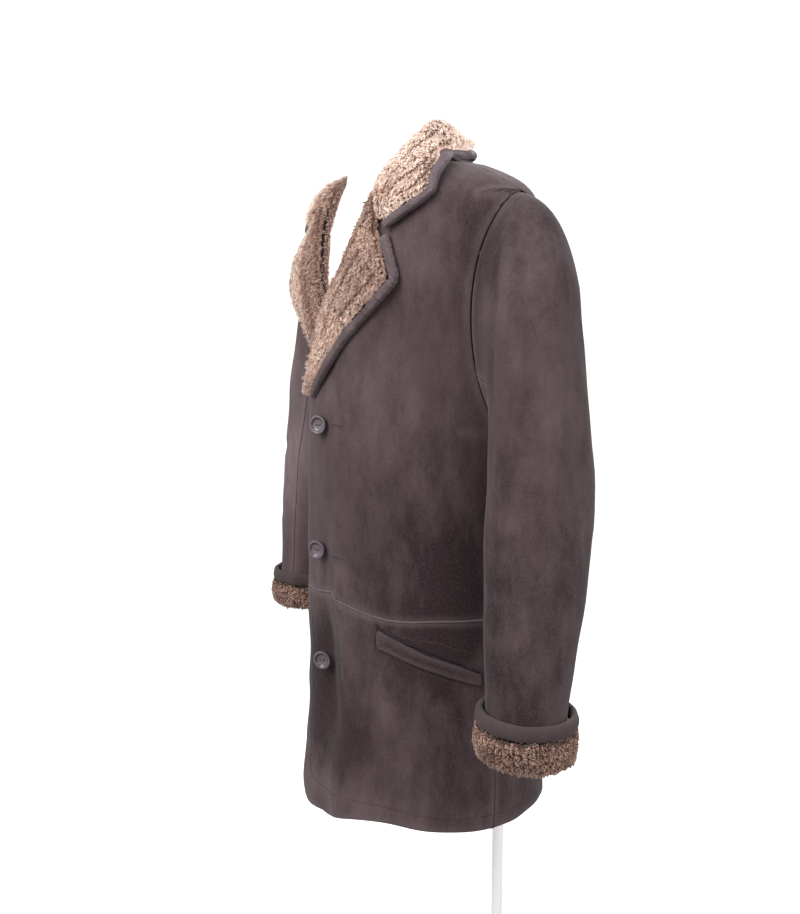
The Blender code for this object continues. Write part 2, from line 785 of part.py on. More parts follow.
def make_edging(name, path, material):
    """A rounded strip along a path of (middle, outward normal, direction across)."""
    half = EDGING_WIDTH / 2
    profile = (
        (-half, 0.12),
        (-half, 0.70),
        (-half * 0.55, 1.0),
        (half * 0.55, 1.0),
        (half, 0.70),
        (half, 0.12),
        (half * 0.7, 0.0),
        (-half * 0.7, 0.0),
    )
    sections = []
    for middle, normal, across in path:
        sections.append([middle + across * u + normal * EDGING_THICKNESS * v for u, v in profile])
    return make_loft(name, sections, material)


def surface_normal(height, angle):
    return (body_point(height, angle, 0.01) - body_point(height, angle, 0.0)).normalized()


def lapel_edging_path(side):
    """The middle of the edging, from the break round the tip to the notch."""
    half = EDGING_WIDTH / 2
    bottom = LAPEL_BOTTOM_LEFT if side > 0 else LAPEL_BOTTOM_RIGHT
    top = LAPEL_NOTCH[1] - 0.004
    tip = (LAPEL_TIP_LOW[1] + LAPEL_TIP_HIGH[1]) / 2
    heights = steps(bottom, tip - 0.012, 12)
    heights += steps(tip - 0.006, tip + 0.006, 4)
    heights += steps(tip + 0.012, top, 5)
    middles = []
    for height in heights:
        x = lapel_free_edge(height, half)
        angle = angle_at_x(height, x * side)
        lift = lapel_lift(x * side, height, side)
        middles.append((body_point(height, angle, lift), surface_normal(height, angle)))
    path = []
    for i, (middle, normal) in enumerate(middles):
        before = middles[max(i - 1, 0)][0]
        after = middles[min(i + 1, len(middles) - 1)][0]
        path.append((middle, normal, normal.cross(after - before).normalized()))
    return path


def collar_place(share, across):
    """Height and angle at a share of the way round the collar and from its neck to its edge."""
    row = collar_table.row(abs(share))
    height = row["neck_height"] + (row["edge_height"] - row["neck_height"]) * across
    angle = row["neck_angle"] + (row["edge_angle"] - row["neck_angle"]) * across
    return height, angle if share >= 0.0 else 180.0 - angle


def collar_across(share, inset):
    """How far across the collar a line lies that is inset from its edge."""
    neck = body_surface(*collar_place(share, 0.0))
    edge = body_surface(*collar_place(share, 1.0))
    ahead = body_surface(*collar_place(min(share + 0.02, 1.0), 1.0))
    behind = body_surface(*collar_place(max(share - 0.02, -1.0), 1.0))
    across = (edge - neck).normalized()
    slant = max(across.cross((ahead - behind).normalized()).length, 0.4)
    return 1.0 - inset / slant / (edge - neck).length


def collar_lift(share):
    """The collar's right end stands off like the right lapel."""
    if share > 0.0:
        return COLLAR_LIFT
    return COLLAR_LIFT + COLLAR_FLARE_RIGHT * smooth_step(*COLLAR_FLARE_SHARES, -share)


def collar_edging_normal(share):
    return surface_normal(*collar_place(share, collar_across(share, EDGING_WIDTH / 2)))


def make_collar(name, material):
    up = Vector((0.0, 0.0, 1.0))
    sections = []
    for share in steps(1.0, -1.0, COLLAR_SECTIONS):
        row = collar_table.row(abs(share))
        rise = row["rise"] * (1.0 - (1.0 - COLLAR_RISE_RIGHT) * smooth_step(0.15, 0.55, -share))
        limit = collar_across(share, EDGING_WIDTH + COLLAR_EDGING_GAP)
        flare = collar_lift(share) - COLLAR_LIFT
        under = []
        for across in (0.0, 0.33, 0.66, 1.0):
            place = collar_place(share, limit * across)
            under.append(body_point(*place, COLLAR_LIFT + flare * across))
        edge = under[-1] + collar_edging_normal(share) * LAPEL_THICKNESS
        neck = under[0]
        outwards = Vector((neck.x, neck.y - NECK_MIDDLE_Y, 0.0)).normalized()
        thick = COLLAR_ROLL_THICKNESS
        foot = neck + up * COLLAR_FOOT_RISE - outwards * rise * COLLAR_FOOT_SET_IN
        inside = neck + up * rise * 0.75 + outwards * (row["lean"] - thick * 0.9)
        roll = neck + up * rise + outwards * row["lean"]
        outside = neck + up * rise * 0.90 + outwards * (row["lean"] + thick)
        fall = outside.lerp(edge, 0.5) + (outwards * 2.0 + up) * COLLAR_FALL_SWELL
        sections.append((*under, edge, fall, outside, roll, inside, foot))
    return make_loft(name, sections, material)


def collar_edging_path():
    path = []
    for share in steps(1.0, -1.0, COLLAR_SECTIONS):
        inner_place = collar_place(share, collar_across(share, EDGING_WIDTH))
        inner = body_point(*inner_place, collar_lift(share))
        outer = body_point(*collar_place(share, 1.0), collar_lift(share))
        across = (outer - inner) / EDGING_WIDTH
        path.append(((inner + outer) / 2, collar_edging_normal(share), across))
    return path


def make_pocket(name, side, material):
    columns = 12
    outer = []
    inner = []
    for share in steps(0.0, 1.0, columns):
        angle = POCKET_FRONT[0] + (POCKET_SIDE[0] - POCKET_FRONT[0]) * share
        middle = POCKET_FRONT[1] + (POCKET_SIDE[1] - POCKET_FRONT[1]) * share
        if side < 0:
            angle = -180.0 - angle
        row_outer = []
        row_inner = []
        for rise in (-0.5, 0.0, 0.5):
            height = middle + rise * WELT_HEIGHT
            lift = front_lift(body_surface(height, angle).x, height, side) + WELT_LIFT
            row_outer.append(body_point(height, angle, lift + WELT_THICKNESS))
            row_inner.append(body_point(height, angle, lift))
        outer.append(row_outer)
        inner.append(row_inner)
    return make_wall(name, outer, inner, material)


def make_button(name, height, material):
    """A turned button with a raised rim and two holes, lying on the left front."""
    angle = angle_at_x(height, 0.0)
    lift = front_lift(0.0, height, 1)
    seat = body_point(height, angle, lift + BUTTON_LIFT)
    facing = (body_point(height, angle, lift + 0.01) - seat).normalized()
    highest = 0.0
    for turn in steps(0.0, 2.0 * math.pi, 9):
        z = height + BUTTON_RADIUS * math.sin(turn)
        x = BUTTON_RADIUS * math.cos(turn)
        below = body_point(z, angle_at_x(z, x), lift)
        highest = max(highest, (below - seat).dot(facing) + BUTTON_LIFT)
    seat = seat + facing * highest
    rim = BUTTON_RADIUS - BUTTON_RIM
    profile = (
        (0.0, BUTTON_THICKNESS * 0.62),
        (rim, BUTTON_THICKNESS * 0.62),
        (rim + 0.0006, BUTTON_THICKNESS),
        (BUTTON_RADIUS - 0.0007, BUTTON_THICKNESS),
        (BUTTON_RADIUS, BUTTON_THICKNESS * 0.62),
        (BUTTON_RADIUS - 0.001, 0.0),
        (0.0, 0.0),
    )
    mesh = bpy.data.meshes.new(name)
    edges = [(i, i + 1) for i in range(len(profile) - 1)]
    mesh.from_pydata([(x, 0.0, z) for x, z in profile], edges, [])
    button = new_object(name, mesh, material)
    turned = button.modifiers.new("Turned", "SCREW")
    turned.steps = 20
    turned.render_steps = 20
    turned.use_merge_vertices = True
    turned.merge_threshold = 0.00005
    for share in (-1.0, 1.0):
        hole = bmesh.new()
        bmesh.ops.create_cone(
            hole,
            cap_ends=True,
            segments=8,
            radius1=BUTTON_HOLE_RADIUS,
            radius2=BUTTON_HOLE_RADIUS,
            depth=BUTTON_THICKNESS * 3,
        )
        bmesh.ops.translate(hole, verts=hole.verts, vec=(BUTTON_HOLE_OFFSET * share, 0.0, 0.0))
        hole_mesh = bpy.data.meshes.new(name + "_hole")
        hole.to_mesh(hole_mesh)
        hole.free()
        cutter = bpy.data.objects.new(name + "_hole", hole_mesh)
        cutter.hide_render = True
        cutter.display_type = "WIRE"
        cutters.objects.link(cutter)
        cutter.parent = button
        drilled = button.modifiers.new("Drilled", "BOOLEAN")
        drilled.operation = "DIFFERENCE"
        drilled.object = cutter
    button.location = seat
    button.rotation_mode = "QUATERNION"
    button.rotation_quaternion = facing.to_track_quat("Z", "Y")
    return button


def make_form(material):
    sections = []
    table = Table(FORM_COLUMNS, FORM)
    angles = [360.0 * k / FORM_AROUND for k in range(FORM_AROUND)]
    for height in table.at:
        row = table.row(height)
        sections.append([Vector((*oval_point(row, angle), height)) for angle in angles])
    throat = Table(THROAT_COLUMNS, FORM_THROAT)
    inside = -DOUBLE_FACE_THICKNESS - FORM_CLEARANCE
    for height in upper_heights()[-7:]:
        named = throat.row(height)
        ring = []
        for angle in angles:
            away = (angle - 270.0) / named["spread"]
            bulge = named["bulge"] * math.exp(-(away**4)) if height >= GORGE_HEIGHT else 0.0
            ring.append(body_point(height, angle, inside + bulge, swollen=False))
        sections.append(ring)
    for row in FORM_NECK:
        named = dict(zip(FORM_COLUMNS, row))
        sections.append([Vector((*oval_point(named, angle), row[0])) for angle in angles])
    return make_loft("form_torso", sections, material)


def make_round(name, radius, low, high, place, edge, material):
    """A round bar or disc with eased edges, standing on a level face."""
    shaped = bmesh.new()
    bmesh.ops.create_cone(
        shaped, cap_ends=True, segments=32, radius1=radius, radius2=radius, depth=high - low
    )
    mesh = bpy.data.meshes.new(name)
    shaped.to_mesh(mesh)
    shaped.free()
    made = new_object(name, mesh, material)
    made.location = (*place, (low + high) / 2)
    if edge > 0.0:
        eased = made.modifiers.new("Eased", "BEVEL")
        eased.width = edge
        eased.segments = 2
        eased.limit_method = "ANGLE"
    return made


for old in list(bpy.data.objects):
    bpy.data.objects.remove(old, do_unlink=True)
coat = bpy.data.collections.new("shearling_coat")
cutters = bpy.data.collections.new("cutters")
cutters.hide_render = True
for collection in (coat, cutters):
    bpy.context.scene.collection.children.link(collection)

nubuck = new_material("nubuck", (0.085, 0.062, 0.068), 0.80)
curly_fur = new_material("curly_fur", (0.520, 0.385, 0.300), 0.95)
cuff_fur = new_material("cuff_fur", (0.400, 0.290, 0.225), 0.95)
edging = new_material("edging", (0.060, 0.045, 0.050), 0.55)
horn = new_material("horn", (0.045, 0.036, 0.040), 0.30)
form_white = new_material("form_white", (0.800, 0.790, 0.780), 0.60)
enamel = new_material("enamel", (0.800, 0.790, 0.780), 0.40)

for side, word in ((1, "left"), (-1, "right")):
    make_front("front_" + word, side, nubuck)
    make_skirt_front("skirt_" + word, side, nubuck)
    top_last = SLEEVE_AROUND + UNDER_SLEEVE_FIRST
    make_sleeve("sleeve_top_" + word, side, UNDER_SLEEVE_LAST, top_last, nubuck)
    make_sleeve("sleeve_under_" + word, side, UNDER_SLEEVE_FIRST, UNDER_SLEEVE_LAST, nubuck)
    make_cuff(side, word)
    make_lapel("lapel_" + word, side, curly_fur)
    make_edging("edging_lapel_" + word, lapel_edging_path(side), edging)
    make_pocket("pocket_welt_" + word, side, nubuck)
make_back("back", nubuck)
make_skirt_back("skirt_back", nubuck)
make_collar("collar", curly_fur)
make_edging("edging_collar", collar_edging_path(), edging)
for number, height in enumerate(BUTTON_HEIGHTS, start=1):
    make_button(f"button_{number}", height, horn)
make_form(form_white)
pole_top = FORM[0][0] - SEAM_GAP
pole_foot = BASE_THICKNESS + SEAM_GAP
make_round("form_pole", POLE_RADIUS, pole_foot, pole_top, POLE_PLACE, 0.0, enamel)
make_round("form_base", BASE_RADIUS, 0.0, BASE_THICKNESS, (0.0, 0.0), BASE_EDGE, enamel)
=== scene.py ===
import heapq
import math

import bmesh
import bpy
import numpy as np
from mathutils import Matrix, Vector
from mathutils.bvhtree import BVHTree
from mathutils.kdtree import KDTree


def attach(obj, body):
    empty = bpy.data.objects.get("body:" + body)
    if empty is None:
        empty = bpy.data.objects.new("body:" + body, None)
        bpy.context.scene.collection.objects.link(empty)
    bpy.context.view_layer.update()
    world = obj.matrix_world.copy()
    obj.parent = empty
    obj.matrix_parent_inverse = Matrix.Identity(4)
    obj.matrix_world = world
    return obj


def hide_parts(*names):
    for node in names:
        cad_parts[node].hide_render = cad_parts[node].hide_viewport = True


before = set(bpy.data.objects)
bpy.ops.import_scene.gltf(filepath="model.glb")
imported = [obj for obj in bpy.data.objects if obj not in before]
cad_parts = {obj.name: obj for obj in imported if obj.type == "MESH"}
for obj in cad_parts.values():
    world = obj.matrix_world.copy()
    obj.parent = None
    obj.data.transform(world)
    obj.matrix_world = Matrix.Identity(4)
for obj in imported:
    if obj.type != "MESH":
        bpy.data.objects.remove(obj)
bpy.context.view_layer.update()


# ---------------------------------------------------------------------------------------------
# The studio the coat stands in: a white floor and backdrop, a wide soft light above and to the
# front, and a weaker one on the other side. The camera stands off the wearer's left front.
# ---------------------------------------------------------------------------------------------
CAMERA_PLACE = (1.238, -0.715, 1.379)
CAMERA_TURN = 61.65
CAMERA_DIP = 8.65
CAMERA_LENS = 41.55
FLOOR_SIZE = 14.0
FLOOR_WHITE = (0.92, 0.915, 0.91, 1.0)
FLOOR_PALE = (0.93, 0.925, 0.92, 1.0)
FLOOR_GLOW = 0.66
FLOOR_BOUNCE = (0.16, 0.15, 0.15, 1.0)
BACKDROP_STRENGTH = 1.15
AIR_STRENGTH = 0.52
SOFT_LIGHTS = (
    # name, place, aim, size, watts
    ("light_front", (0.3, -2.3, 2.9), (0.0, 0.0, 1.35), 1.9, 54.0),
    ("light_side", (2.6, 0.5, 2.6), (0.1, 0.0, 1.35), 1.8, 30.0),
    ("light_back", (-1.6, 2.0, 2.6), (0.0, 0.0, 1.3), 1.9, 30.0),
)


def add_node(tree, kind, settings=None, inputs=None):
    """One shader node. An input is named or numbered, and takes a value or another node's output."""
    node = tree.nodes.new(kind)
    for key, value in (settings or {}).items():
        setattr(node, key, value)
    for key, value in (inputs or {}).items():
        if isinstance(value, bpy.types.NodeSocket):
            tree.links.new(value, node.inputs[key])
        else:
            node.inputs[key].default_value = value
    return node


def mixed(tree, share, first, second):
    """A colour between two, by a share of 0 to 1."""
    inputs = {0: share, 6: first, 7: second}
    return add_node(tree, "ShaderNodeMix", {"data_type": "RGBA"}, inputs).outputs[2]


def noise(tree, scale, detail=2.0, roughness=0.5, **more):
    """A cloudy unevenness over the surface, 0 to 1."""
    inputs = {"Scale": scale, "Detail": detail, "Roughness": roughness, **more}
    return add_node(tree, "ShaderNodeTexNoise", inputs=inputs).outputs["Fac"]


def ranged(tree, value, low, high, to_low=0.0, to_high=1.0):
    """A value taken from one range to another, and held within it."""
    ends = {"From Min": low, "From Max": high, "To Min": to_low, "To Max": to_high}
    return add_node(tree, "ShaderNodeMapRange", inputs={"Value": value, **ends}).outputs["Result"]


def new_finish(name, **shader_values):
    """A material with its own Principled shader, and the constant values of that shader."""
    finish = bpy.data.materials.new(name)
    finish.use_nodes = True
    shader = finish.node_tree.nodes["Principled BSDF"]
    for key, value in shader_values.items():
        shader.inputs[key.replace("_", " ")].default_value = value
    return finish, finish.node_tree, shader


def new_effect(name, inputs, outputs):
    """A shader node group with named sockets: (label, kind, value) going in, (label, kind) out."""
    group = bpy.data.node_groups.new(name, "ShaderNodeTree")
    for label, kind, value in inputs:
        group.interface.new_socket(label, in_out="INPUT", socket_type=kind).default_value = value
    for label, kind in outputs:
        group.interface.new_socket(label, in_out="OUTPUT", socket_type=kind)
    going_in = group.nodes.new("NodeGroupInput").outputs
    return group, going_in, group.nodes.new("NodeGroupOutput").inputs


def place_effect(tree, group, **values):
    """A node group placed in a material with that material's own values."""
    inputs = {key.replace("_", " "): value for key, value in values.items()}
    return add_node(tree, "ShaderNodeGroup", {"node_tree": group}, inputs)


def colour(red, green, blue):
    """A screen colour, 0 to 255, as the linear colour that a shader takes."""
    return (*[(channel / 255.0) ** 2.2 for channel in (red, green, blue)], 1.0)


camera_data = bpy.data.cameras.new("camera")
camera_data.lens = CAMERA_LENS
camera = bpy.data.objects.new("camera", camera_data)
camera.location = CAMERA_PLACE
camera.rotation_euler = (math.radians(90.0 - CAMERA_DIP), 0.0, math.radians(CAMERA_TURN))
bpy.context.collection.objects.link(camera)
bpy.context.scene.camera = camera

for light_name, place, aim, size, watts in SOFT_LIGHTS:
    lamp = bpy.data.lights.new(light_name, "AREA")
    lamp.size = size
    lamp.energy = watts
    lamp_object = bpy.data.objects.new(light_name, lamp)
    lamp_object.location = place
    lamp_object.rotation_euler = (Vector(aim) - Vector(place)).to_track_quat("-Z", "Y").to_euler()
    bpy.context.collection.objects.link(lamp_object)

air = bpy.data.worlds.new("studio_air")
bpy.context.scene.world = air
air.use_nodes = True
air_tree = air.node_tree
seen = add_node(air_tree, "ShaderNodeLightPath").outputs["Is Camera Ray"]
strength = ranged(air_tree, seen, 0.0, 1.0, to_low=AIR_STRENGTH, to_high=BACKDROP_STRENGTH)
air_tree.links.new(strength, air_tree.nodes["Background"].inputs["Strength"])
air_tree.nodes["Background"].inputs["Color"].default_value = (1.0, 1.0, 1.0, 1.0)
bpy.context.scene.view_settings.view_transform = "Standard"

floor_finish, floor_tree, floor_shader = new_finish(
    "white_floor", Roughness=0.6, Emission_Color=FLOOR_WHITE
)
paint = noise(floor_tree, scale=3.0)
painted = mixed(floor_tree, paint, FLOOR_WHITE, FLOOR_PALE)
floor_seen = add_node(floor_tree, "ShaderNodeLightPath").outputs["Is Camera Ray"]
floor_glow = ranged(floor_tree, floor_seen, 0.0, 1.0, to_low=0.0, to_high=FLOOR_GLOW)
floor_tree.links.new(floor_glow, floor_shader.inputs["Emission Strength"])
floor_bounce = mixed(floor_tree, floor_seen, FLOOR_BOUNCE, painted)
floor_tree.links.new(floor_bounce, floor_shader.inputs["Base Color"])
floor_mesh = bpy.data.meshes.new("floor")
half = FLOOR_SIZE / 2
floor_mesh.from_pydata(
    [(-half, -half, 0), (half, -half, 0), (half, half, 0), (-half, half, 0)], [], [(0, 1, 2, 3)]
)
floor = bpy.data.objects.new("floor", floor_mesh)
floor_mesh.materials.append(floor_finish)
bpy.context.collection.objects.link(floor)


# ---------------------------------------------------------------------------------------------
# The stand: a round steel plate with a thin tube screwed into it, both stove-enamelled white.
# The enamel is satin, with a faint orange-peel and a little dirt where it is handled.
# ---------------------------------------------------------------------------------------------
ENAMEL_WHITE = (0.90, 0.875, 0.865, 1.0)
ENAMEL_HANDLED = (0.82, 0.79, 0.775, 1.0)
ENAMEL_ROUGHNESS = 0.32
# The enamel glows a little: painted light that keeps the stand white.
ENAMEL_PAINTED_GLOW = 0.40
PEEL_SCALE = 320.0
WELD_REACH = 0.00002
EDGE_EASE = 0.0006


def raised(tree, height, strength, distance, **more):
    """A fine relief, as the surface's normal."""
    inputs = {"Height": height, "Strength": strength, "Distance": distance, **more}
    return add_node(tree, "ShaderNodeBump", inputs=inputs).outputs["Normal"]


def wear_material(obj, finish):
    """Gives a node its finish in place of its plain one."""
    obj.data.materials.clear()
    obj.data.materials.append(finish)


enamel, enamel_tree, enamel_shader = new_finish(
    "white_enamel",
    Roughness=ENAMEL_ROUGHNESS,
    Emission_Color=ENAMEL_WHITE,
    Emission_Strength=ENAMEL_PAINTED_GLOW,
)
dirt = noise(enamel_tree, scale=9.0, detail=6.0)
dirty = mixed(enamel_tree, dirt, ENAMEL_WHITE, ENAMEL_HANDLED)
enamel_tree.links.new(dirty, enamel_shader.inputs["Base Color"])
peel = noise(enamel_tree, PEEL_SCALE)
peel_bump = raised(enamel_tree, peel, strength=0.12, distance=0.0004)
enamel_tree.links.new(peel_bump, enamel_shader.inputs["Normal"])
for node in ("form_base", "form_pole"):
    stand_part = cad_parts[node]
    wear_material(stand_part, enamel)
    weld = stand_part.modifiers.new("welded", "WELD")
    weld.merge_threshold = WELD_REACH
    eased = stand_part.modifiers.new("eased_edges", "BEVEL")
    eased.width = EDGE_EASE
    eased.segments = 2


# ---------------------------------------------------------------------------------------------
# The dress form: a limbless torso of moulded fibreglass, closed at the neck and sprayed matt
# white. It stands in the coat and fills it out; its surface has a faint cast unevenness.
# ---------------------------------------------------------------------------------------------
FORM_WHITE = (0.93, 0.925, 0.92, 1.0)
FORM_SHADE = (0.90, 0.895, 0.89, 1.0)
# The form glows: painted light that keeps it white in its own shade.
FORM_PAINTED_GLOW = 0.95

form_finish, form_tree, form_shader = new_finish(
    "matt_white_form", Roughness=0.7, Emission_Color=FORM_WHITE, Emission_Strength=FORM_PAINTED_GLOW
)
casting = noise(form_tree, scale=14.0, detail=5.0)
cast_colour = mixed(form_tree, casting, FORM_WHITE, FORM_SHADE)
form_tree.links.new(cast_colour, form_shader.inputs["Base Color"])
cast_bump = raised(form_tree, casting, strength=0.1, distance=0.002)
form_tree.links.new(cast_bump, form_shader.inputs["Normal"])
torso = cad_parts["form_torso"]
wear_material(torso, form_finish)
torso_weld = torso.modifiers.new("welded", "WELD")
torso_weld.merge_threshold = WELD_REACH
torso_smooth = torso.modifiers.new("smoothed", "SUBSURF")
torso_smooth.levels = 1
torso_smooth.render_levels = 1


# ---------------------------------------------------------------------------------------------
# Body panels: fronts, back and skirts cut from double-face sheepskin, suede side out and curly
# wool inside. The skin is thick and soft, so it hangs in a few long shallow folds, not wrinkles.
# ---------------------------------------------------------------------------------------------
NUBUCK_DEEP = colour(52, 37, 40)
NUBUCK_MIDDLE = colour(107, 90, 92)
# The pale colour serves both rubbed nap and painted highlight.
NUBUCK_RUBBED_AND_HIGHLIGHT = colour(142, 126, 129)
NUBUCK_WARM = colour(76, 56, 55)
SEAM_DARK = colour(34, 27, 28)
WOOL_ROOT = colour(132, 94, 80)
WOOL_MIDDLE = colour(226, 182, 162)
WOOL_TIP = colour(255, 236, 220)
INSIDE_ROOT = colour(104, 76, 64)
RIM_ANGLE = math.radians(48.0)
CORNER_ANGLE = math.radians(28.0)
FLAT_ANGLE = 0.7
PAIR_ANGLE = 1.2
WALL = 0.006
WALL_SHORTEST = 0.65
WALL_LONGEST = 1.5
WALL_SQUARE = 0.8
RIM_CREASE = 1.0
RIM_EASE = 0.0006
# Paler along the rims, edge wear together with painted highlight, and darker right at the cut edge.
RIM_WEAR_AND_HIGHLIGHT = 0.24
RIM_WEAR_AND_HIGHLIGHT_REACH = (0.0105, 0.0025)
SEAM_DARKENING = 0.34
SEAM_DARKENING_REACH = (0.0016, 0.0004)
BODY_WIDTH = 0.205
BODY_DEPTH = 0.142
BODY_MIDDLE_Y = -0.018
WAVE_COUNT = 7
WAVE_LENGTHS = (0.05, 0.13)
WAVE_UPRIGHT = 0.55
WAVE_SUM = 2.6
WHOLE_TURN = 6.3
SAG_RISE = 0.0015
SAG_SEED = 5
FOLD_DEPTH = 1.35
FOLD_END = (-0.02, 0.22)
# Each fold: half width, rise of its middle (less than 0 is a trough), then its line.
BODY_FOLDS = (
    (0.011, 0.0052, (
        (0.046, -0.162, 1.012), (0.056, -0.161, 0.985), (0.066, -0.159, 0.955), (0.072, -0.159, 0.925),
        (0.080, -0.159, 0.880),
    )),
    (0.019, -0.0054, (
        (0.006, -0.166, 0.975), (0.014, -0.163, 0.915), (0.022, -0.162, 0.860), (0.052, -0.170, 0.800),
    )),
    (0.014, -0.0022, ((0.095, -0.150, 0.930), (0.100, -0.150, 0.860), (0.098, -0.155, 0.770))),
    (0.018, 0.0022, ((0.125, -0.128, 0.880), (0.128, -0.136, 0.760))),
    (0.015, -0.0018, ((0.160, -0.098, 0.890), (0.168, -0.100, 0.790))),
    (0.020, 0.0016, ((0.194, -0.053, 0.870), (0.200, -0.047, 0.760))),
    (0.010, -0.0018, (
        (0.030, -0.165, 1.049), (0.056, -0.160, 1.050), (0.071, -0.154, 1.041), (0.083, -0.147, 1.026),
    )),
    (0.009, -0.0022, ((0.004, -0.166, 1.024), (0.014, -0.166, 0.998))),
    (0.008, 0.0014, ((0.018, -0.166, 1.020), (0.030, -0.165, 0.992))),
    (0.013, -0.0017, ((0.128, -0.116, 1.400), (0.122, -0.122, 1.300), (0.124, -0.124, 1.180))),
    (0.015, 0.0012, ((0.151, -0.103, 1.340), (0.150, -0.106, 1.200))),
    (0.013, -0.0014, ((0.177, -0.083, 1.360), (0.172, -0.088, 1.260), (0.172, -0.085, 1.140))),
    (0.012, -0.0026, (
        (0.128, -0.112, 1.402), (0.104, -0.129, 1.342), (0.070, -0.147, 1.290), (0.040, -0.158, 1.255),
    )),
    (0.016, 0.0012, ((0.085, -0.150, 1.220), (0.088, -0.150, 1.110))),
    (0.014, 0.0020, ((0.186, -0.075, 1.300), (0.190, -0.066, 1.240), (0.194, -0.052, 1.200))),
    # wearer's right and back, uneven in the same way
    (0.015, 0.0034, ((-0.082, -0.155, 0.985), (-0.090, -0.152, 0.920), (-0.096, -0.155, 0.820))),
    (0.018, -0.0030, ((-0.050, -0.162, 0.950), (-0.060, -0.163, 0.850), (-0.062, -0.168, 0.760))),
    (0.016, -0.0024, ((-0.140, -0.125, 0.930), (-0.148, -0.122, 0.780))),
    (0.018, 0.0018, ((-0.188, -0.060, 0.900), (-0.196, -0.055, 0.770))),
    (0.014, -0.0018, ((-0.122, -0.120, 1.390), (-0.126, -0.122, 1.230))),
    (0.013, 0.0014, ((-0.165, -0.096, 1.330), (-0.162, -0.098, 1.180))),
    (0.014, -0.0012, ((-0.090, -0.148, 1.200), (-0.094, -0.148, 1.060))),
    (0.020, -0.0030, ((0.070, 0.112, 0.960), (0.078, 0.118, 0.850), (0.080, 0.122, 0.750))),
    (0.018, 0.0032, ((0.022, 0.120, 0.975), (0.026, 0.124, 0.840), (0.024, 0.126, 0.750))),
    (0.019, -0.0028, ((-0.034, 0.120, 0.950), (-0.040, 0.124, 0.820))),
    (0.018, 0.0026, ((-0.092, 0.110, 0.970), (-0.100, 0.114, 0.790))),
    (0.017, 0.0016, ((0.140, 0.080, 0.960), (0.150, 0.082, 0.800))),
    (0.014, -0.0018, ((0.052, 0.112, 1.420), (0.046, 0.118, 1.280), (0.050, 0.114, 1.150))),
    (0.016, -0.0016, ((-0.060, 0.110, 1.400), (-0.052, 0.116, 1.240))),
    (0.013, -0.0020, ((-0.080, 0.104, 1.130), (0.000, 0.116, 1.115), (0.086, 0.104, 1.135))),
    (0.012, 0.0014, ((-0.100, 0.098, 1.075), (-0.020, 0.115, 1.058))),
    (0.014, -0.0020, ((0.128, 0.080, 1.330), (0.116, 0.092, 1.240), (0.120, 0.090, 1.160))),
    (0.014, -0.0020, ((-0.126, 0.080, 1.340), (-0.120, 0.090, 1.230))),
)


def wall_edges(made, wall):
    """The edges that cross a panel's wall from its outer side to its inner side."""
    across = set()
    for edge in made.edges:
        if not WALL_SHORTEST * wall < edge.calc_length() < WALL_LONGEST * wall:
            continue
        way = (edge.verts[1].co - edge.verts[0].co).normalized()
        if all(
            any(
                abs(face.normal.dot(way)) > WALL_SQUARE
                for face in end.link_faces
                if edge not in face.edges
            )
            for end in edge.verts
        ):
            across.add(edge)
    return across


def wall_rims(made, wall):
    """A panel's rim edges, at its cut edge and corners. Its inner side gets a material of its own."""
    across = wall_edges(made, wall)
    rim_faces = {face for edge in across for face in edge.link_faces}
    rims = {edge for edge in made.edges if edge.calc_face_angle() > RIM_ANGLE}
    rims |= {edge for edge in made.edges if sum(face in rim_faces for face in edge.link_faces) == 1}
    rims |= {edge for edge in across if edge.calc_face_angle() > CORNER_ANGLE}
    sides = []
    left = set(made.faces)
    while left:
        side = set()
        waiting = [left.pop()]
        while waiting:
            face = waiting.pop()
            side.add(face)
            for edge in face.edges:
                if edge in rims:
                    continue
                for other in edge.link_faces:
                    if other in left:
                        left.remove(other)
                        waiting.append(other)
        sides.append(side)
    sides.sort(key=lambda side: -sum(face.calc_area() for face in side))
    for face in sides[1]:
        face.material_index = 1
    return rims


def welded(node):
    """A node's mesh for editing: its points welded and its triangles joined in pairs."""
    made = bmesh.new()
    made.from_mesh(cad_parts[node].data)
    bmesh.ops.remove_doubles(made, verts=made.verts, dist=WELD_REACH)
    bmesh.ops.join_triangles(
        made, faces=made.faces, angle_face_threshold=FLAT_ANGLE, angle_shape_threshold=PAIR_ANGLE
    )
    made.normal_update()
    return made


def creased_mesh(node, name, rim_crease, wall):
    """A node's welded mesh under a new name, with its rims creased."""
    made = welded(node)
    for face in made.faces:
        face.material_index = 0
    crease = made.edges.layers.float.new("crease_edge")
    if wall:
        rims = wall_rims(made, wall)
    else:
        rims = [edge for edge in made.edges if edge.calc_face_angle() > RIM_ANGLE]
    for edge in rims:
        edge[crease] = rim_crease
    mesh = bpy.data.meshes.new(name)
    made.to_mesh(mesh)
    made.free()
    return mesh


def new_piece(name, mesh, *finishes):
    """A mesh as a piece of the scene, with its finishes."""
    piece = bpy.data.objects.new(name, mesh)
    for finish in finishes:
        mesh.materials.append(finish)
    bpy.context.collection.objects.link(piece)
    return piece


def smoothed_piece(node, name, finishes, rim_crease, levels=2, wall=0.0, ease=0.0):
    """A node's form as a finer piece, with its rims eased and each point's distance from them."""
    piece = new_piece(name, creased_mesh(node, name, rim_crease, wall))
    rims = rim_segments(piece.data)
    fine = piece.modifiers.new("fine", "SUBSURF")
    fine.levels = levels
    fine.render_levels = levels
    if ease:
        eased = piece.modifiers.new("eased", "BEVEL")
        eased.width = ease
        eased.segments = 2
        eased.limit_method = "ANGLE"
        eased.angle_limit = RIM_ANGLE
    graph = bpy.context.evaluated_depsgraph_get()
    mesh = bpy.data.meshes.new_from_object(piece.evaluated_get(graph))
    mesh.name = name
    piece.modifiers.clear()
    piece.data = mesh
    mesh.shade_smooth()
    for finish in finishes:
        mesh.materials.append(finish)
    if len(rims):
        store(mesh, "from_rim", rim_distance(points_of(mesh), rims))
    return piece


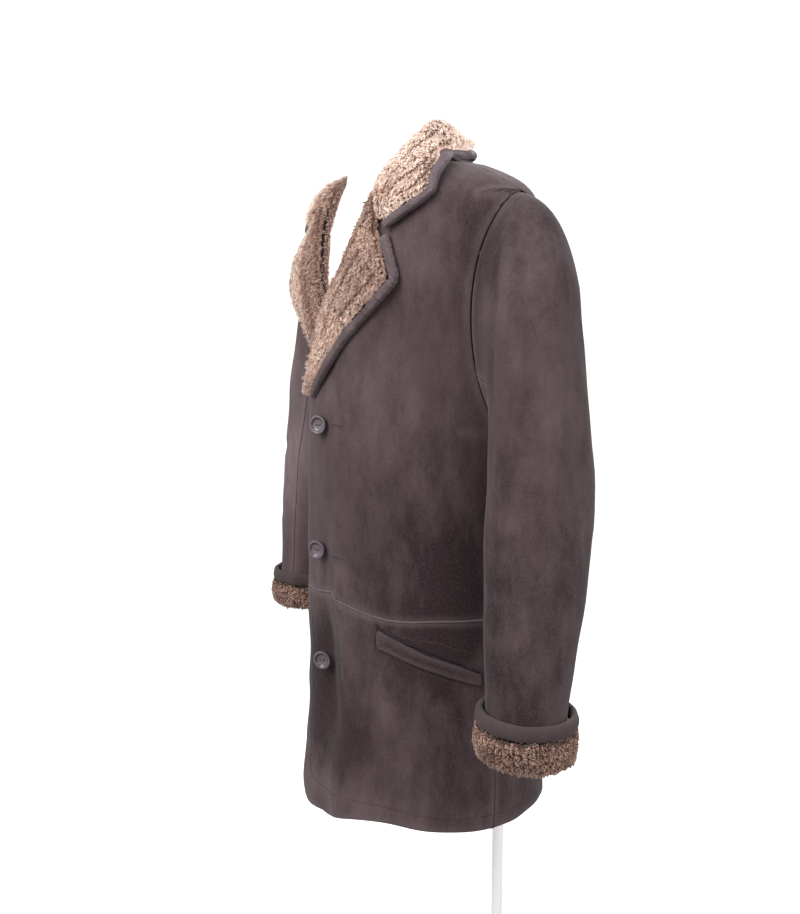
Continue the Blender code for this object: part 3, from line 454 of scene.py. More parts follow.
def rim_segments(mesh):
    """The ends of the creased edges, as an array."""
    creases = np.zeros(len(mesh.edges), np.float32)
    mesh.attributes["crease_edge"].data.foreach_get("value", creases)
    ends = np.empty(len(mesh.edges) * 2, np.int32)
    mesh.edges.foreach_get("vertices", ends)
    return points_of(mesh)[ends.reshape(-1, 2)[creases > 0.0]]


def rim_distance(points, rims):
    """Each point's distance from the nearest rim."""
    nearest = np.full(len(points), 1.0)
    for start, end in rims:
        step = end - start
        t = np.clip((points - start) @ step / max(step @ step, 1e-12), 0.0, 1.0)
        np.minimum(nearest, np.linalg.norm(points - start - t[:, None] * step, axis=1), out=nearest)
    return nearest


def points_of(mesh, what="co"):
    """A mesh's points, or the normals at them, as an array."""
    flat = np.empty(len(mesh.vertices) * 3)
    mesh.vertices.foreach_get(what, flat)
    return flat.reshape(-1, 3)


def set_points(mesh, points):
    """Moves a mesh's points to new places."""
    mesh.vertices.foreach_set("co", points.ravel())
    mesh.update()


def store(mesh, label, values):
    """Keeps one value for each point, for the finish to read."""
    layer = mesh.attributes.new(label, "FLOAT", "POINT")
    layer.data.foreach_set("value", values.astype(np.float32))


def line_distance(points, line):
    """Each point's distance from a line of points, and how far along the line it is, 0 to 1."""
    line = np.array(line, float)
    lengths = np.linalg.norm(np.diff(line, axis=0), axis=1)
    before = np.concatenate([[0.0], np.cumsum(lengths)])
    nearest = np.full(len(points), 1e9)
    along = np.zeros(len(points))
    for i, length in enumerate(lengths):
        step = (line[i + 1] - line[i]) / length
        t = np.clip((points - line[i]) @ step, 0.0, length)
        away = np.linalg.norm(points - line[i] - t[:, None] * step, axis=1)
        closer = away < nearest
        nearest[closer] = away[closer]
        along[closer] = (before[i] + t[closer]) / before[-1]
    return nearest, along


def ramp(low, high, values):
    """A soft step from 0 at the first value to 1 at the second."""
    t = np.clip((values - low) / (high - low), 0.0, 1.0)
    return t * t * (3.0 - 2.0 * t)


def fold_rise(points, folds):
    """The sum of the folds' rises. A fold dies away at its ends over a fifth of its length."""
    total = np.zeros(len(points))
    for half_width, rise, line in folds:
        away, along = line_distance(points, line)
        ends = ramp(*FOLD_END, along) * ramp(*FOLD_END, 1.0 - along)
        total += rise * ends * np.exp(-((away / half_width) ** 2))
    return total


def slow_waves(points, seed):
    """A soft unevenness of about one unit, of waves 50 to 130 mm long in all directions."""
    draw = np.random.default_rng(seed)
    total = np.zeros(len(points))
    for _ in range(WAVE_COUNT):
        direction = draw.normal(size=3) * (1.0, 1.0, WAVE_UPRIGHT)
        direction *= 2.0 * math.pi / draw.uniform(*WAVE_LENGTHS) / np.linalg.norm(direction)
        total += np.sin(points @ direction + draw.uniform(0.0, WHOLE_TURN))
    return total / WAVE_SUM


# Painted light and shade in patches, paler where more light falls and darker where less does:
# place, radius, and how much paler it is there (less than 0 is darker).
PAINTED_LIGHT_PATCHES = (
    ((0.160, -0.092, 1.070), 0.100, -0.62),
    ((0.175, -0.078, 0.965), 0.062, -0.70),
    ((0.120, -0.125, 0.930), 0.050, -0.45),
    ((0.010, -0.165, 0.890), 0.070, -0.55),
    ((0.035, -0.170, 0.800), 0.065, -0.60),
    ((0.195, -0.050, 0.800), 0.080, -0.32),
    ((0.110, -0.145, 0.800), 0.070, -0.16),
    ((0.070, -0.155, 1.130), 0.075, -0.30),
    ((0.100, -0.145, 1.060), 0.055, -0.30),
    ((0.060, -0.160, 0.840), 0.040, -0.30),
    ((0.090, -0.150, 0.880), 0.030, 0.25),
    ((0.120, -0.120, 1.270), 0.070, 0.34),
    ((0.165, -0.092, 1.290), 0.045, 0.30),
    ((0.335, 0.030, 1.280), 0.080, 0.60),
    ((0.020, -0.176, 0.735), 0.030, 0.35),
    ((0.080, -0.168, 0.732), 0.030, 0.30),
    ((0.140, -0.130, 0.730), 0.030, 0.30),
    ((-0.120, -0.130, 1.300), 0.090, 0.20),
    ((-0.150, -0.100, 1.060), 0.090, -0.60),
    ((-0.060, -0.165, 0.860), 0.070, -0.45),
    ((-0.170, -0.080, 0.930), 0.060, -0.50),
    ((0.060, 0.115, 1.340), 0.090, 0.25),
    ((-0.070, 0.112, 1.240), 0.080, -0.30),
    ((0.020, 0.115, 1.060), 0.080, -0.50),
    ((0.090, 0.110, 0.860), 0.080, -0.35),
    ((-0.090, 0.112, 0.800), 0.070, 0.20),
    ((0.240, -0.050, 1.440), 0.050, -0.40),
    ((0.320, -0.035, 1.400), 0.080, -0.30),
    ((0.300, -0.060, 1.300), 0.120, -0.26),
    ((0.340, 0.000, 1.260), 0.050, 0.20),
    ((0.310, -0.085, 1.130), 0.045, 0.12),
    ((0.345, -0.050, 1.020), 0.090, -0.30),
    ((0.330, -0.070, 0.930), 0.080, -0.38),
    ((-0.285, -0.070, 1.300), 0.060, 0.30),
    ((-0.272, -0.085, 1.130), 0.110, 1.10),
    ((-0.120, -0.150, 1.180), 0.080, 0.45),
    ((0.206, -0.030, 0.990), 0.050, -0.10),
    ((0.130, -0.115, 1.440), 0.060, 0.12),
    ((0.290, -0.060, 1.400), 0.050, 0.30),
    ((-0.345, -0.040, 1.040), 0.080, -0.35),
)
# Painted highlight and shade on folds: how much paler for each metre that a fold rises;
# its trough is as much darker.
PAINTED_LIGHT_ON_FOLDS = 75.0


def paint_light_and_shade(piece, folds):
    """Stores the painted light and shade at each point: 0 is even, 1 is pale and -1 dark."""
    points = points_of(piece.data)
    shade = PAINTED_LIGHT_ON_FOLDS * fold_rise(points, folds)
    for place, radius, amount in PAINTED_LIGHT_PATCHES:
        away = np.linalg.norm(points - np.array(place), axis=1)
        shade += amount * np.exp(-((away / radius) ** 2))
    store(piece.data, "painted_light", shade)


def body_outward(points):
    """The level way out of an oval body, at each point."""
    outward = np.zeros_like(points)
    outward[:, 0] = points[:, 0] / BODY_WIDTH**2
    outward[:, 1] = (points[:, 1] - BODY_MIDDLE_Y) / BODY_DEPTH**2
    return outward / np.maximum(np.linalg.norm(outward, axis=1), 1e-6)[:, None]


# How far the waist seam rises or drops from a level line, across the left front.
WAIST_HEIGHT = 0.995
WAIST_REACH = 0.030
WAIST_FRONT_Y = (-0.02, -0.06)
WAIST_ACROSS = (-0.040, -0.005, 0.025, 0.042, 0.052, 0.064, 0.078, 0.092, 0.110, 0.140, 0.165, 0.190)
WAIST_RISE = (0.004, 0.006, 0.012, 0.014, 0.011, 0.005, -0.002, -0.006, -0.009, -0.007, -0.002, 0.000)
# How far the neck and collar drop on the right side, and where they touch each shoulder.
RIGHT_DROP = 0.013
RIGHT_X = (-0.020, -0.055)
RIGHT_Y = (0.090, 0.035)
RIGHT_Z = (1.512, 1.556)
COLLAR_DROP = 0.007
TOUCH_PLACE = (0.102, -0.012)
TOUCH_SPREAD = (0.030, 0.036)
TOUCH_LOW = (1.535, 1.548)
TOUCH_HIGH = (1.590, 1.572)
# Where the panels are held still by the armhole and the shoulder seam.
ARMHOLE_STILL_X = (0.165, 0.193)
ARMHOLE_STILL_Z = (1.15, 1.21)
SHOULDER_STILL_Z = (1.43, 1.50)


def shape_waist(points):
    """Bends the waist seam and what is near it up or down, on the left front only."""
    near = np.exp(-(((points[:, 2] - WAIST_HEIGHT) / WAIST_REACH) ** 2))
    near *= ramp(*WAIST_FRONT_Y, points[:, 1])
    bent = points.copy()
    bent[:, 2] += np.interp(points[:, 0], WAIST_ACROSS, WAIST_RISE) * near
    return bent


def shape_neck(points):
    """Lets the collar lie flatter on the right side, and touch both shoulders."""
    moved = points.copy()
    right_side = ramp(*RIGHT_X, points[:, 0]) * ramp(*RIGHT_Y, points[:, 1])
    moved[:, 2] -= RIGHT_DROP * ramp(*RIGHT_Z, points[:, 2]) * right_side
    away_x = (np.abs(points[:, 0]) - TOUCH_PLACE[0]) / TOUCH_SPREAD[0]
    away_y = (points[:, 1] - TOUCH_PLACE[1]) / TOUCH_SPREAD[1]
    above = ramp(*TOUCH_LOW, points[:, 2]) * ramp(*TOUCH_HIGH, points[:, 2])
    moved[:, 2] -= COLLAR_DROP * np.exp(-(away_x**2 + away_y**2)) * above
    return moved


def shape_body(points):
    """Moves points of the body panels in and out along the folds, and not beside the armholes."""
    armhole = ramp(*ARMHOLE_STILL_X, np.abs(points[:, 0])) * ramp(*ARMHOLE_STILL_Z, points[:, 2])
    shoulder = 1.0 - ramp(*SHOULDER_STILL_Z, points[:, 2])
    sag = SAG_RISE * slow_waves(points, SAG_SEED)
    rise = (FOLD_DEPTH * fold_rise(points, BODY_FOLDS) + sag) * (1.0 - armhole) * shoulder
    return shape_neck(shape_waist(points + body_outward(points) * rise[:, None]))


def reckoned(tree, operation, *values, **settings):
    """A sum of values that change over the surface."""
    settings["operation"] = operation
    return add_node(tree, "ShaderNodeMath", settings, dict(enumerate(values))).outputs["Value"]


def stored(tree, label):
    """A value kept at each of the piece's points."""
    return add_node(tree, "ShaderNodeAttribute", {"attribute_name": label}).outputs["Fac"]


def placed(tree, *stretch):
    """The place on the object, stretched along its axes where that is given."""
    place = add_node(tree, "ShaderNodeTexCoord").outputs["Object"]
    if not stretch:
        return place
    inputs = {"Vector": place, "Scale": stretch}
    return add_node(tree, "ShaderNodeMapping", inputs=inputs).outputs["Vector"]


dye_and_light, dye_and_light_in, dye_and_light_out = new_effect(
    "uneven_dye_and_painted_light",
    [
        ("Deep", "NodeSocketColor", NUBUCK_DEEP),
        ("Middle", "NodeSocketColor", NUBUCK_MIDDLE),
        ("Rubbed", "NodeSocketColor", NUBUCK_RUBBED_AND_HIGHLIGHT),
        ("Warm", "NodeSocketColor", NUBUCK_WARM),
        ("Cloud Scale", "NodeSocketFloat", 7.0),
        ("Speckle Scale", "NodeSocketFloat", 680.0),
        ("Rim Share", "NodeSocketFloat", 0.0),
        ("Nap Shade", "NodeSocketFloat", 0.0),
        ("Seam Share", "NodeSocketFloat", 0.0),
    ],
    [("Color", "NodeSocketColor")],
)
where = placed(dye_and_light)
stretched = placed(dye_and_light, 1.0, 1.0, 0.42)
clouds = noise(dye_and_light, dye_and_light_in["Cloud Scale"], detail=6.0, roughness=0.62, Vector=stretched)
streaked = placed(dye_and_light, 1.0, 1.0, 0.45)
streaks = noise(dye_and_light, scale=34.0, detail=7.0, roughness=0.70, Vector=streaked)
streaky = reckoned(dye_and_light, "MULTIPLY_ADD", streaks, 0.72, clouds)
cloud_mask = ranged(dye_and_light, streaky, 0.68, 1.02, to_low=0.18, to_high=1.0)
speckle = noise(dye_and_light, dye_and_light_in["Speckle Scale"], detail=3.0, roughness=0.7, Vector=where)
speckle_mask = ranged(dye_and_light, speckle, 0.46, 0.72, to_high=0.27)
# The nap shade input carries painted light and shade. It darkens or lightens the dye's clouds, and
# where it is strongest it becomes a painted highlight in the pale colour.
clouded_and_lit = reckoned(dye_and_light, "MULTIPLY_ADD", dye_and_light_in["Nap Shade"], 0.85, cloud_mask)
painted_highlight = ranged(dye_and_light, clouded_and_lit, 0.95, 1.9)
base_dye_and_light = mixed(dye_and_light, clouded_and_lit, dye_and_light_in["Deep"], dye_and_light_in["Middle"])
rubbed_and_highlight_share = reckoned(dye_and_light, "MAXIMUM", speckle_mask, painted_highlight)
rubbed_and_highlight_dye = mixed(dye_and_light, rubbed_and_highlight_share, base_dye_and_light, dye_and_light_in["Rubbed"])
warmth = noise(dye_and_light, scale=4.3, detail=4.0, roughness=0.55, Vector=where)
warm_mask = ranged(dye_and_light, warmth, 0.46, 0.68, to_high=0.38)
warmed = mixed(dye_and_light, warm_mask, rubbed_and_highlight_dye, dye_and_light_in["Warm"])
# The rim share is a paler band of edge wear and painted highlight; the seam share darkens the colour
# right at the cut edge.
rimmed = mixed(dye_and_light, dye_and_light_in["Rim Share"], warmed, dye_and_light_in["Rubbed"])
seamed = mixed(dye_and_light, dye_and_light_in["Seam Share"], rimmed, SEAM_DARK)
dye_and_light.links.new(seamed, dye_and_light_out["Color"])

grain, grain_in, grain_out = new_effect(
    "hide_grain",
    [("Nap Scale", "NodeSocketFloat", 620.0), ("Pore Scale", "NodeSocketFloat", 210.0)],
    [("Height", "NodeSocketFloat")],
)
grain_where = placed(grain)
nap = noise(grain, grain_in["Nap Scale"], Vector=grain_where)
pores = noise(grain, grain_in["Pore Scale"], detail=4.0, roughness=0.65, Vector=grain_where)
grain_sum = reckoned(grain, "MULTIPLY_ADD", nap, 0.5, pores)
grain.links.new(grain_sum, grain_out["Height"])


def new_hide(name, deep, middle, rubbed_and_highlight, roughness, grain_depth, cloud_scale=7.0, sheen=0.12):
    """A suede or leather finish: uneven dye, painted light and shade, rim wear with painted highlight,
    nap and pores, and a faint sheen at the edges.
    """
    finish, tree, shader = new_finish(
        name, Roughness=roughness, Sheen_Weight=sheen, Sheen_Roughness=0.55, Specular_IOR_Level=0.25
    )
    from_rim = stored(tree, "from_rim")
    # Paler along the rims, edge wear together with painted highlight; darker right at the cut edge.
    rim_wear_and_highlight = ranged(tree, from_rim, *RIM_WEAR_AND_HIGHLIGHT_REACH, to_high=RIM_WEAR_AND_HIGHLIGHT)
    seam_darkening = ranged(tree, from_rim, *SEAM_DARKENING_REACH, to_high=SEAM_DARKENING)
    # The painted light and shade stored on the piece.
    painted_light = stored(tree, "painted_light")
    dyed_and_lit = place_effect(
        tree,
        dye_and_light,
        Deep=deep,
        Middle=middle,
        Rubbed=rubbed_and_highlight,
        Cloud_Scale=cloud_scale,
        Rim_Share=rim_wear_and_highlight,
        Nap_Shade=painted_light,
        Seam_Share=seam_darkening,
    )
    tree.links.new(dyed_and_lit.outputs["Color"], shader.inputs["Base Color"])
    napped = place_effect(tree, grain)
    bump = raised(tree, napped.outputs["Height"], strength=0.6, distance=grain_depth)
    tree.links.new(bump, shader.inputs["Normal"])
    return finish


curls, curls_in, curls_out = new_effect(
    "flat_curls",
    [
        ("Root", "NodeSocketColor", WOOL_ROOT),
        ("Tip", "NodeSocketColor", WOOL_TIP),
        ("Curl Scale", "NodeSocketFloat", 190.0),
    ],
    [("Color", "NodeSocketColor"), ("Height", "NodeSocketFloat")],
)
curl_where = placed(curls)
twisted = add_node(curls, "ShaderNodeTexNoise", inputs={"Vector": curl_where, "Scale": 70.0})
curl_mix = add_node(
    curls,
    "ShaderNodeMix",
    {"data_type": "RGBA", "blend_type": "LINEAR_LIGHT"},
    {0: 0.012, 6: curl_where, 7: twisted.outputs["Color"]},
)
cells = add_node(
    curls,
    "ShaderNodeTexVoronoi",
    inputs={"Vector": curl_mix.outputs[2], "Scale": curls_in["Curl Scale"]},
)
curl_height = ranged(curls, cells.outputs["Distance"], 0.62, 0.08)
curl_colour = mixed(curls, curl_height, curls_in["Root"], curls_in["Tip"])
curls.links.new(curl_colour, curls_out["Color"])
curls.links.new(curl_height, curls_out["Height"])


def new_flat_fleece(name, root, tip, scale):
    """Clipped wool seen as a surface: rounded curls with dark roots between them."""
    finish, tree, shader = new_finish(name, Roughness=0.95, Sheen_Weight=0.25, Specular_IOR_Level=0.1)
    wool = place_effect(tree, curls, Root=root, Tip=tip, Curl_Scale=scale)
    tree.links.new(wool.outputs["Color"], shader.inputs["Base Color"])
    bump = raised(tree, wool.outputs["Height"], strength=0.9, distance=0.003)
    tree.links.new(bump, shader.inputs["Normal"])
    return finish


nubuck = new_hide(
    "dark_nubuck", NUBUCK_DEEP, NUBUCK_MIDDLE, NUBUCK_RUBBED_AND_HIGHLIGHT, roughness=0.86, grain_depth=0.0009
)
wool_inside = new_flat_fleece("clipped_wool_inside", INSIDE_ROOT, WOOL_TIP, scale=190.0)

BODY_PANELS = (
    # node, flat width and length of its cut, flat area
    ("front_left", 0.340, 0.620, 0.148),
    ("front_right", 0.340, 0.620, 0.144),
    ("back", 0.520, 0.600, 0.288),
    ("skirt_left", 0.330, 0.300, 0.091),
    ("skirt_right", 0.310, 0.300, 0.084),
    ("skirt_back", 0.530, 0.290, 0.150),
)
hides = {}
for node, flat_width, flat_length, flat_area in BODY_PANELS:
    panel = smoothed_piece(
        node, node + "_hide", (nubuck, wool_inside), RIM_CREASE, wall=WALL, ease=RIM_EASE
    )
    set_points(panel.data, shape_body(points_of(panel.data)))
    # Painted light and shade, stored for the finish.
    paint_light_and_shade(panel, BODY_FOLDS)
    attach(panel, "root")
    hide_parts(node)
    hides[node] = panel


# ---------------------------------------------------------------------------------------------
# Sleeves: a wide upper part and a narrow under part, set into the armholes. The skin rounds
# over the sleeve head and hangs straight, with a long hollow behind the armhole seam.
# ---------------------------------------------------------------------------------------------
# Written for the wearer's left sleeve; the right one has its own list with other places.
LEFT_SLEEVE_FOLDS = (
    (0.011, -0.0034, (
        (0.232, -0.052, 1.455), (0.246, -0.061, 1.419), (0.260, -0.072, 1.372), (0.266, -0.078, 1.306),
        (0.262, -0.078, 1.240),
    )),
    (0.010, 0.0026, (
        (0.252, -0.048, 1.450), (0.270, -0.062, 1.400), (0.282, -0.072, 1.330), (0.290, -0.080, 1.240),
        (0.296, -0.086, 1.170),
    )),
    (0.008, -0.0020, ((0.282, -0.091, 1.158), (0.308, -0.087, 1.155), (0.328, -0.074, 1.161))),
    (0.007, 0.0016, ((0.284, -0.091, 1.134), (0.312, -0.088, 1.136), (0.334, -0.070, 1.134))),
    (0.008, -0.0018, ((0.282, -0.091, 1.104), (0.309, -0.090, 1.113), (0.329, -0.079, 1.110))),
    (0.009, -0.0020, ((0.287, -0.092, 1.058), (0.317, -0.089, 1.067), (0.341, -0.070, 1.064))),
    (0.007, 0.0012, ((0.290, -0.092, 1.040), (0.320, -0.089, 1.044))),
    (0.008, -0.0017, ((0.291, -0.093, 1.016), (0.320, -0.089, 1.027), (0.340, -0.075, 1.024))),
    (0.016, 0.0018, ((0.306, -0.036, 1.370), (0.330, -0.030, 1.270), (0.343, -0.037, 1.164))),
    (0.050, -0.0048, ((0.300, 0.045, 1.400), (0.335, 0.040, 1.300), (0.350, 0.030, 1.180))),
    (0.018, -0.0022, ((0.318, -0.002, 1.330), (0.340, 0.000, 1.230), (0.352, -0.006, 1.120))),
    (0.014, -0.0016, ((0.344, -0.030, 1.120), (0.350, -0.045, 1.060), (0.347, -0.058, 0.990))),
    (0.012, -0.0024, ((0.330, 0.040, 1.200), (0.350, 0.020, 1.180), (0.354, -0.010, 1.172))),
    (0.012, -0.0022, ((0.316, 0.050, 1.120), (0.346, 0.024, 1.096))),
    (0.012, -0.0026, ((0.222, 0.050, 1.330), (0.250, 0.062, 1.260), (0.270, 0.060, 1.200))),
    (0.012, 0.0020, ((0.246, 0.050, 1.380), (0.280, 0.058, 1.290), (0.298, 0.055, 1.200))),
)
RIGHT_SLEEVE_FOLDS = (
    (0.012, -0.0030, ((-0.234, -0.052, 1.450), (-0.258, -0.070, 1.370), (-0.262, -0.078, 1.260))),
    (0.011, 0.0022, ((-0.256, -0.050, 1.440), (-0.284, -0.074, 1.320), (-0.292, -0.082, 1.200))),
    (0.009, -0.0022, ((-0.286, -0.090, 1.150), (-0.316, -0.086, 1.142), (-0.334, -0.070, 1.150))),
    (0.008, -0.0018, ((-0.288, -0.091, 1.086), (-0.318, -0.088, 1.094))),
    (0.009, -0.0018, ((-0.292, -0.092, 1.048), (-0.330, -0.080, 1.040))),
    (0.017, 0.0018, ((-0.308, -0.030, 1.360), (-0.334, -0.028, 1.240), (-0.346, -0.040, 1.120))),
    (0.016, -0.0020, ((-0.322, 0.006, 1.310), (-0.344, 0.002, 1.180))),
    (0.013, -0.0024, ((-0.332, 0.038, 1.170), (-0.354, 0.006, 1.150))),
    (0.012, -0.0022, ((-0.318, 0.050, 1.080), (-0.348, 0.022, 1.060))),
    (0.012, -0.0024, ((-0.226, 0.052, 1.320), (-0.256, 0.062, 1.230))),
)
SLEEVE_SAG = 0.0012
SLEEVE_SEED = 11
SLEEVE_HEIGHTS = (0.90, 1.46, 0.04)
SLEEVE_RING = 0.030
# Where the sleeve is held still, at the armhole and in the cuff.
SLEEVE_STILL_X = (0.222, 0.250)
SLEEVE_STILL_Z = (0.885, 0.93)
SLEEVE_PARTS = (
    # node, flat width and length of its cut, flat area
    ("sleeve_top", 0.300, 0.640, 0.148),
    ("sleeve_under", 0.135, 0.420, 0.050),
)


def sleeve_middle(side):
    """Heights down the sleeve, and the middle of the sleeve at each."""
    points = np.concatenate(
        [points_of(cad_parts[f"{part}_{side}"].data) for part in ("sleeve_top", "sleeve_under")]
    )
    heights = np.arange(*SLEEVE_HEIGHTS)
    middles = []
    for height in heights:
        ring = points[np.abs(points[:, 2] - height) < SLEEVE_RING]
        middles.append((ring.min(axis=0) + ring.max(axis=0))[:2] / 2)
    return heights, np.array(middles)


def sleeve_outward(side):
    """A function that gives the level way out of one sleeve, at each point."""
    heights, middles = sleeve_middle(side)

    def outward_of(points):
        outward = np.zeros_like(points)
        for axis in (0, 1):
            outward[:, axis] = points[:, axis] - np.interp(points[:, 2], heights, middles[:, axis])
        return outward / np.maximum(np.linalg.norm(outward, axis=1), 1e-6)[:, None]

    return outward_of


for side, folds in (("left", LEFT_SLEEVE_FOLDS), ("right", RIGHT_SLEEVE_FOLDS)):
    outward_of = sleeve_outward(side)
    for part, flat_width, flat_length, flat_area in SLEEVE_PARTS:
        node = f"{part}_{side}"
        sleeve = smoothed_piece(
            node, node + "_hide", (nubuck, wool_inside), RIM_CREASE, wall=WALL, ease=RIM_EASE
        )
        points = points_of(sleeve.data)
        clear = ramp(*SLEEVE_STILL_X, np.abs(points[:, 0])) * ramp(*SLEEVE_STILL_Z, points[:, 2])
        sag = SLEEVE_SAG * slow_waves(points, SLEEVE_SEED)
        rise = (FOLD_DEPTH * fold_rise(points, folds) + sag) * clear
        set_points(sleeve.data, points + outward_of(points) * rise[:, None])
        # Painted light and shade, stored for the finish.
        paint_light_and_shade(sleeve, folds)
        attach(sleeve, "root")
        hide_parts(node)
        hides[node] = sleeve


# ---------------------------------------------------------------------------------------------
# Seams: a dark twilled tape sewn into each armhole shows as a line where the skins meet. The
# side and shoulder seams are skived and turned flush, and the waist seam's edge is paler.
# ---------------------------------------------------------------------------------------------
TAPE_RADIUS = 0.0021
TAPE_SIDES = 8
TAPE_AND_SHADE_DARK = colour(36, 28, 30)
TAPE_AND_SHADE_PALE = colour(54, 44, 46)
TAPE_STEP = 0.004
ARMHOLE_X = 0.186
ARMHOLE_LOW = 1.205
SEAM_STEP = 0.012
SEAM_RADIUS = WALL * 0.46
SEAM_LIFT = np.array([0.0, 0.0, 0.0004])
SEAM_PALE = colour(146, 130, 132)
SHOULDER_LOW = 1.475
SHOULDER_OUT_X = 0.225
SHOULDER_FRONT_Y = -0.06
WAIST_RADIUS = 0.0014
WAIST_SUNK = 0.0006
WAIST_EDGE = 0.004
# The same dark finish is the armhole tape, and painted shade in the pocket mouths and buttonhole slits.
tape_and_shade_finish, tape_and_shade_tree, tape_and_shade_shader = new_finish("dark_tape_and_painted_shade", Roughness=0.9)
tape_weave = noise(tape_and_shade_tree, scale=900.0)
tape_and_shade_colour = mixed(tape_and_shade_tree, tape_weave, TAPE_AND_SHADE_DARK, TAPE_AND_SHADE_PALE)
tape_and_shade_tree.links.new(tape_and_shade_colour, tape_and_shade_shader.inputs["Base Color"])


def wall_middles(node):
    """The middles of the edges that cross a panel's wall, all round its cut edge."""
    made = welded(node)
    across = wall_edges(made, WALL)
    middles = np.array([list((edge.verts[0].co + edge.verts[1].co) / 2) for edge in across])
    made.free()
    return middles


def tube_mesh(name, line, radius, sides, closed):
    """A round cord along a line of points."""
    line = np.array(line)
    if closed:
        along = np.roll(line, -1, axis=0) - np.roll(line, 1, axis=0)
    else:
        along = np.gradient(line, axis=0)
    along /= np.linalg.norm(along, axis=1)[:, None]
    first = np.cross(along, (0.3, 0.2, 0.93))
    first /= np.linalg.norm(first, axis=1)[:, None]
    second = np.cross(along, first)
    points = []
    for k in range(sides):
        turn = 2.0 * math.pi * k / sides
        points.append(line + radius * (first * math.cos(turn) + second * math.sin(turn)))
    points = np.array(points).transpose(1, 0, 2).reshape(-1, 3)
    faces = []
    count = len(line)
    for i in range(count if closed else count - 1):
        low = i * sides
        high = (i + 1) % count * sides
        for k in range(sides):
            faces.append((low + k, low + (k + 1) % sides, high + (k + 1) % sides, high + k))
    if not closed:
        faces.append(tuple(reversed(range(sides))))
        faces.append(tuple((count - 1) * sides + k for k in range(sides)))
    mesh = bpy.data.meshes.new(name)
    mesh.from_pydata([tuple(point) for point in points], [], faces)
    mesh.shade_smooth()
    return mesh


def new_cord(name, line, radius, finish, sides=TAPE_SIDES, closed=False):
    """A round cord laid on the coat along a line of points."""
    cord = new_piece(name, tube_mesh(name, line, radius, sides, closed), finish)
    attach(cord, "root")


pale_seam_hide = new_hide(
    "pale_seam", NUBUCK_MIDDLE, NUBUCK_RUBBED_AND_HIGHLIGHT, SEAM_PALE, roughness=0.8, grain_depth=0.0004
)
for node in ("skirt_left", "skirt_right", "skirt_back"):
    ridge = wall_middles(node)
    ridge = ridge[ridge[:, 2] > ridge[:, 2].max() - WAIST_EDGE]
    ridge = ridge[np.argsort(ridge[:, 0])]
    ridge = shape_body(ridge + body_outward(ridge) * (WALL / 2 - WAIST_SUNK) + SEAM_LIFT)
    new_cord(node.replace("skirt", "waist_ridge"), ridge, WAIST_RADIUS, pale_seam_hide)
for side, sign in (("left", 1.0), ("right", -1.0)):
    rims = np.concatenate([wall_middles(f"front_{side}"), wall_middles("back")])
    rims = rims[(rims[:, 0] * sign > ARMHOLE_X) & (rims[:, 2] > ARMHOLE_LOW)]
    middle = (rims.min(axis=0) + rims.max(axis=0)) / 2
    order = np.argsort(np.arctan2(rims[:, 2] - middle[2], rims[:, 1] - middle[1]))
    armhole = rims[order]
    spaced = [armhole[0]]
    for point in armhole[1:]:
        if np.linalg.norm(point - spaced[-1]) > TAPE_STEP:
            spaced.append(point)
    new_cord(f"armhole_tape_{side}", spaced, TAPE_RADIUS, tape_and_shade_finish, closed=True)
    for half in ("front", "skirt"):
        rear = wall_middles(f"{half}_{side}")
        rear = rear[rear[:, 2] < ARMHOLE_LOW]
        steps = np.floor(rear[:, 2] / SEAM_STEP)
        levels = [rear[steps == step] for step in np.unique(steps)]
        seam = np.array([level[np.argmax(level[:, 1])] for level in levels])
        new_cord(f"side_seam_{half}_{side}", shape_body(seam), SEAM_RADIUS, nubuck)
    ridge = wall_middles(f"front_{side}")
    ridge = ridge[
        (ridge[:, 2] > SHOULDER_LOW)
        & (ridge[:, 0] * sign < SHOULDER_OUT_X)
        & (ridge[:, 1] > SHOULDER_FRONT_Y)
    ]
    ridge = ridge[np.argsort(ridge[:, 0] * sign)] + SEAM_LIFT
    new_cord(f"shoulder_tape_{side}", ridge, SEAM_RADIUS, nubuck)


# ---------------------------------------------------------------------------------------------
# Fleece of the turned-out collar, lapels and cuffs: the skin's own wool, 8 to 10 mm of tight
# curls that lean together in small bunches, pale at the tips and brown at the roots.
# ---------------------------------------------------------------------------------------------
FLEECE_INSET = 0.0036
SKIN_CREASE = 0.35
SKIN_WAVES = 6.0
LOCK_SIDES = 2
LOCK_STEPS = np.array([0.0, 0.55, 1.0])
LOCK_TAPER = np.array([0.8, 1.0, 0.5])
LOCK_SOFTNESS = 0.62
LOCK_LEAN = 0.15
# How a lock stands: how far it droops, leans, is drawn into its bunch, and curls.
DROOP = 0.42
COMBED = 0.62
DRAWN_IN = 0.62
LEAN_SPREAD = 0.50
CURL_RADII = (0.0007, 0.0015)
CURL_TURNS = (2.6, 5.2)
CURL_SPREAD = 0.7
# How uneven the bunches are, and the locks in each bunch, and how closely bunches may stand.
BUNCH_HEIGHTS = (0.72, 1.22)
BUNCH_TONES = (0.62, 1.0)
BUNCH_CROWDING = 0.6
LOCK_HEIGHTS = (0.8, 1.15)
LOCK_TONES = (0.75, 1.1)
LOCK_SIZES = (0.75, 1.25)
TONE_LIMITS = (0.0, 1.2)
# Bare ground: how much is scattered to spare, and how near a cover may lie above a lock's foot.
SPARE_SHARE = 2.1
FOOT_LIFT = 0.0006
FOOT_ROOM = 0.0075
# A parting: its bare line, how far beside it the locks lean less, are shorter and are darker,
# and by how much.
PARTING_BARE = 0.0006
PARTING_COMB = 0.006
PARTING_LESS_COMBED = 0.5
PARTING_LOW = 0.0032
PARTING_SHORTER = 0.60
PARTING_SHADE = 0.0026
PARTING_DARKER = 0.95
PARTING_STEP = 0.006
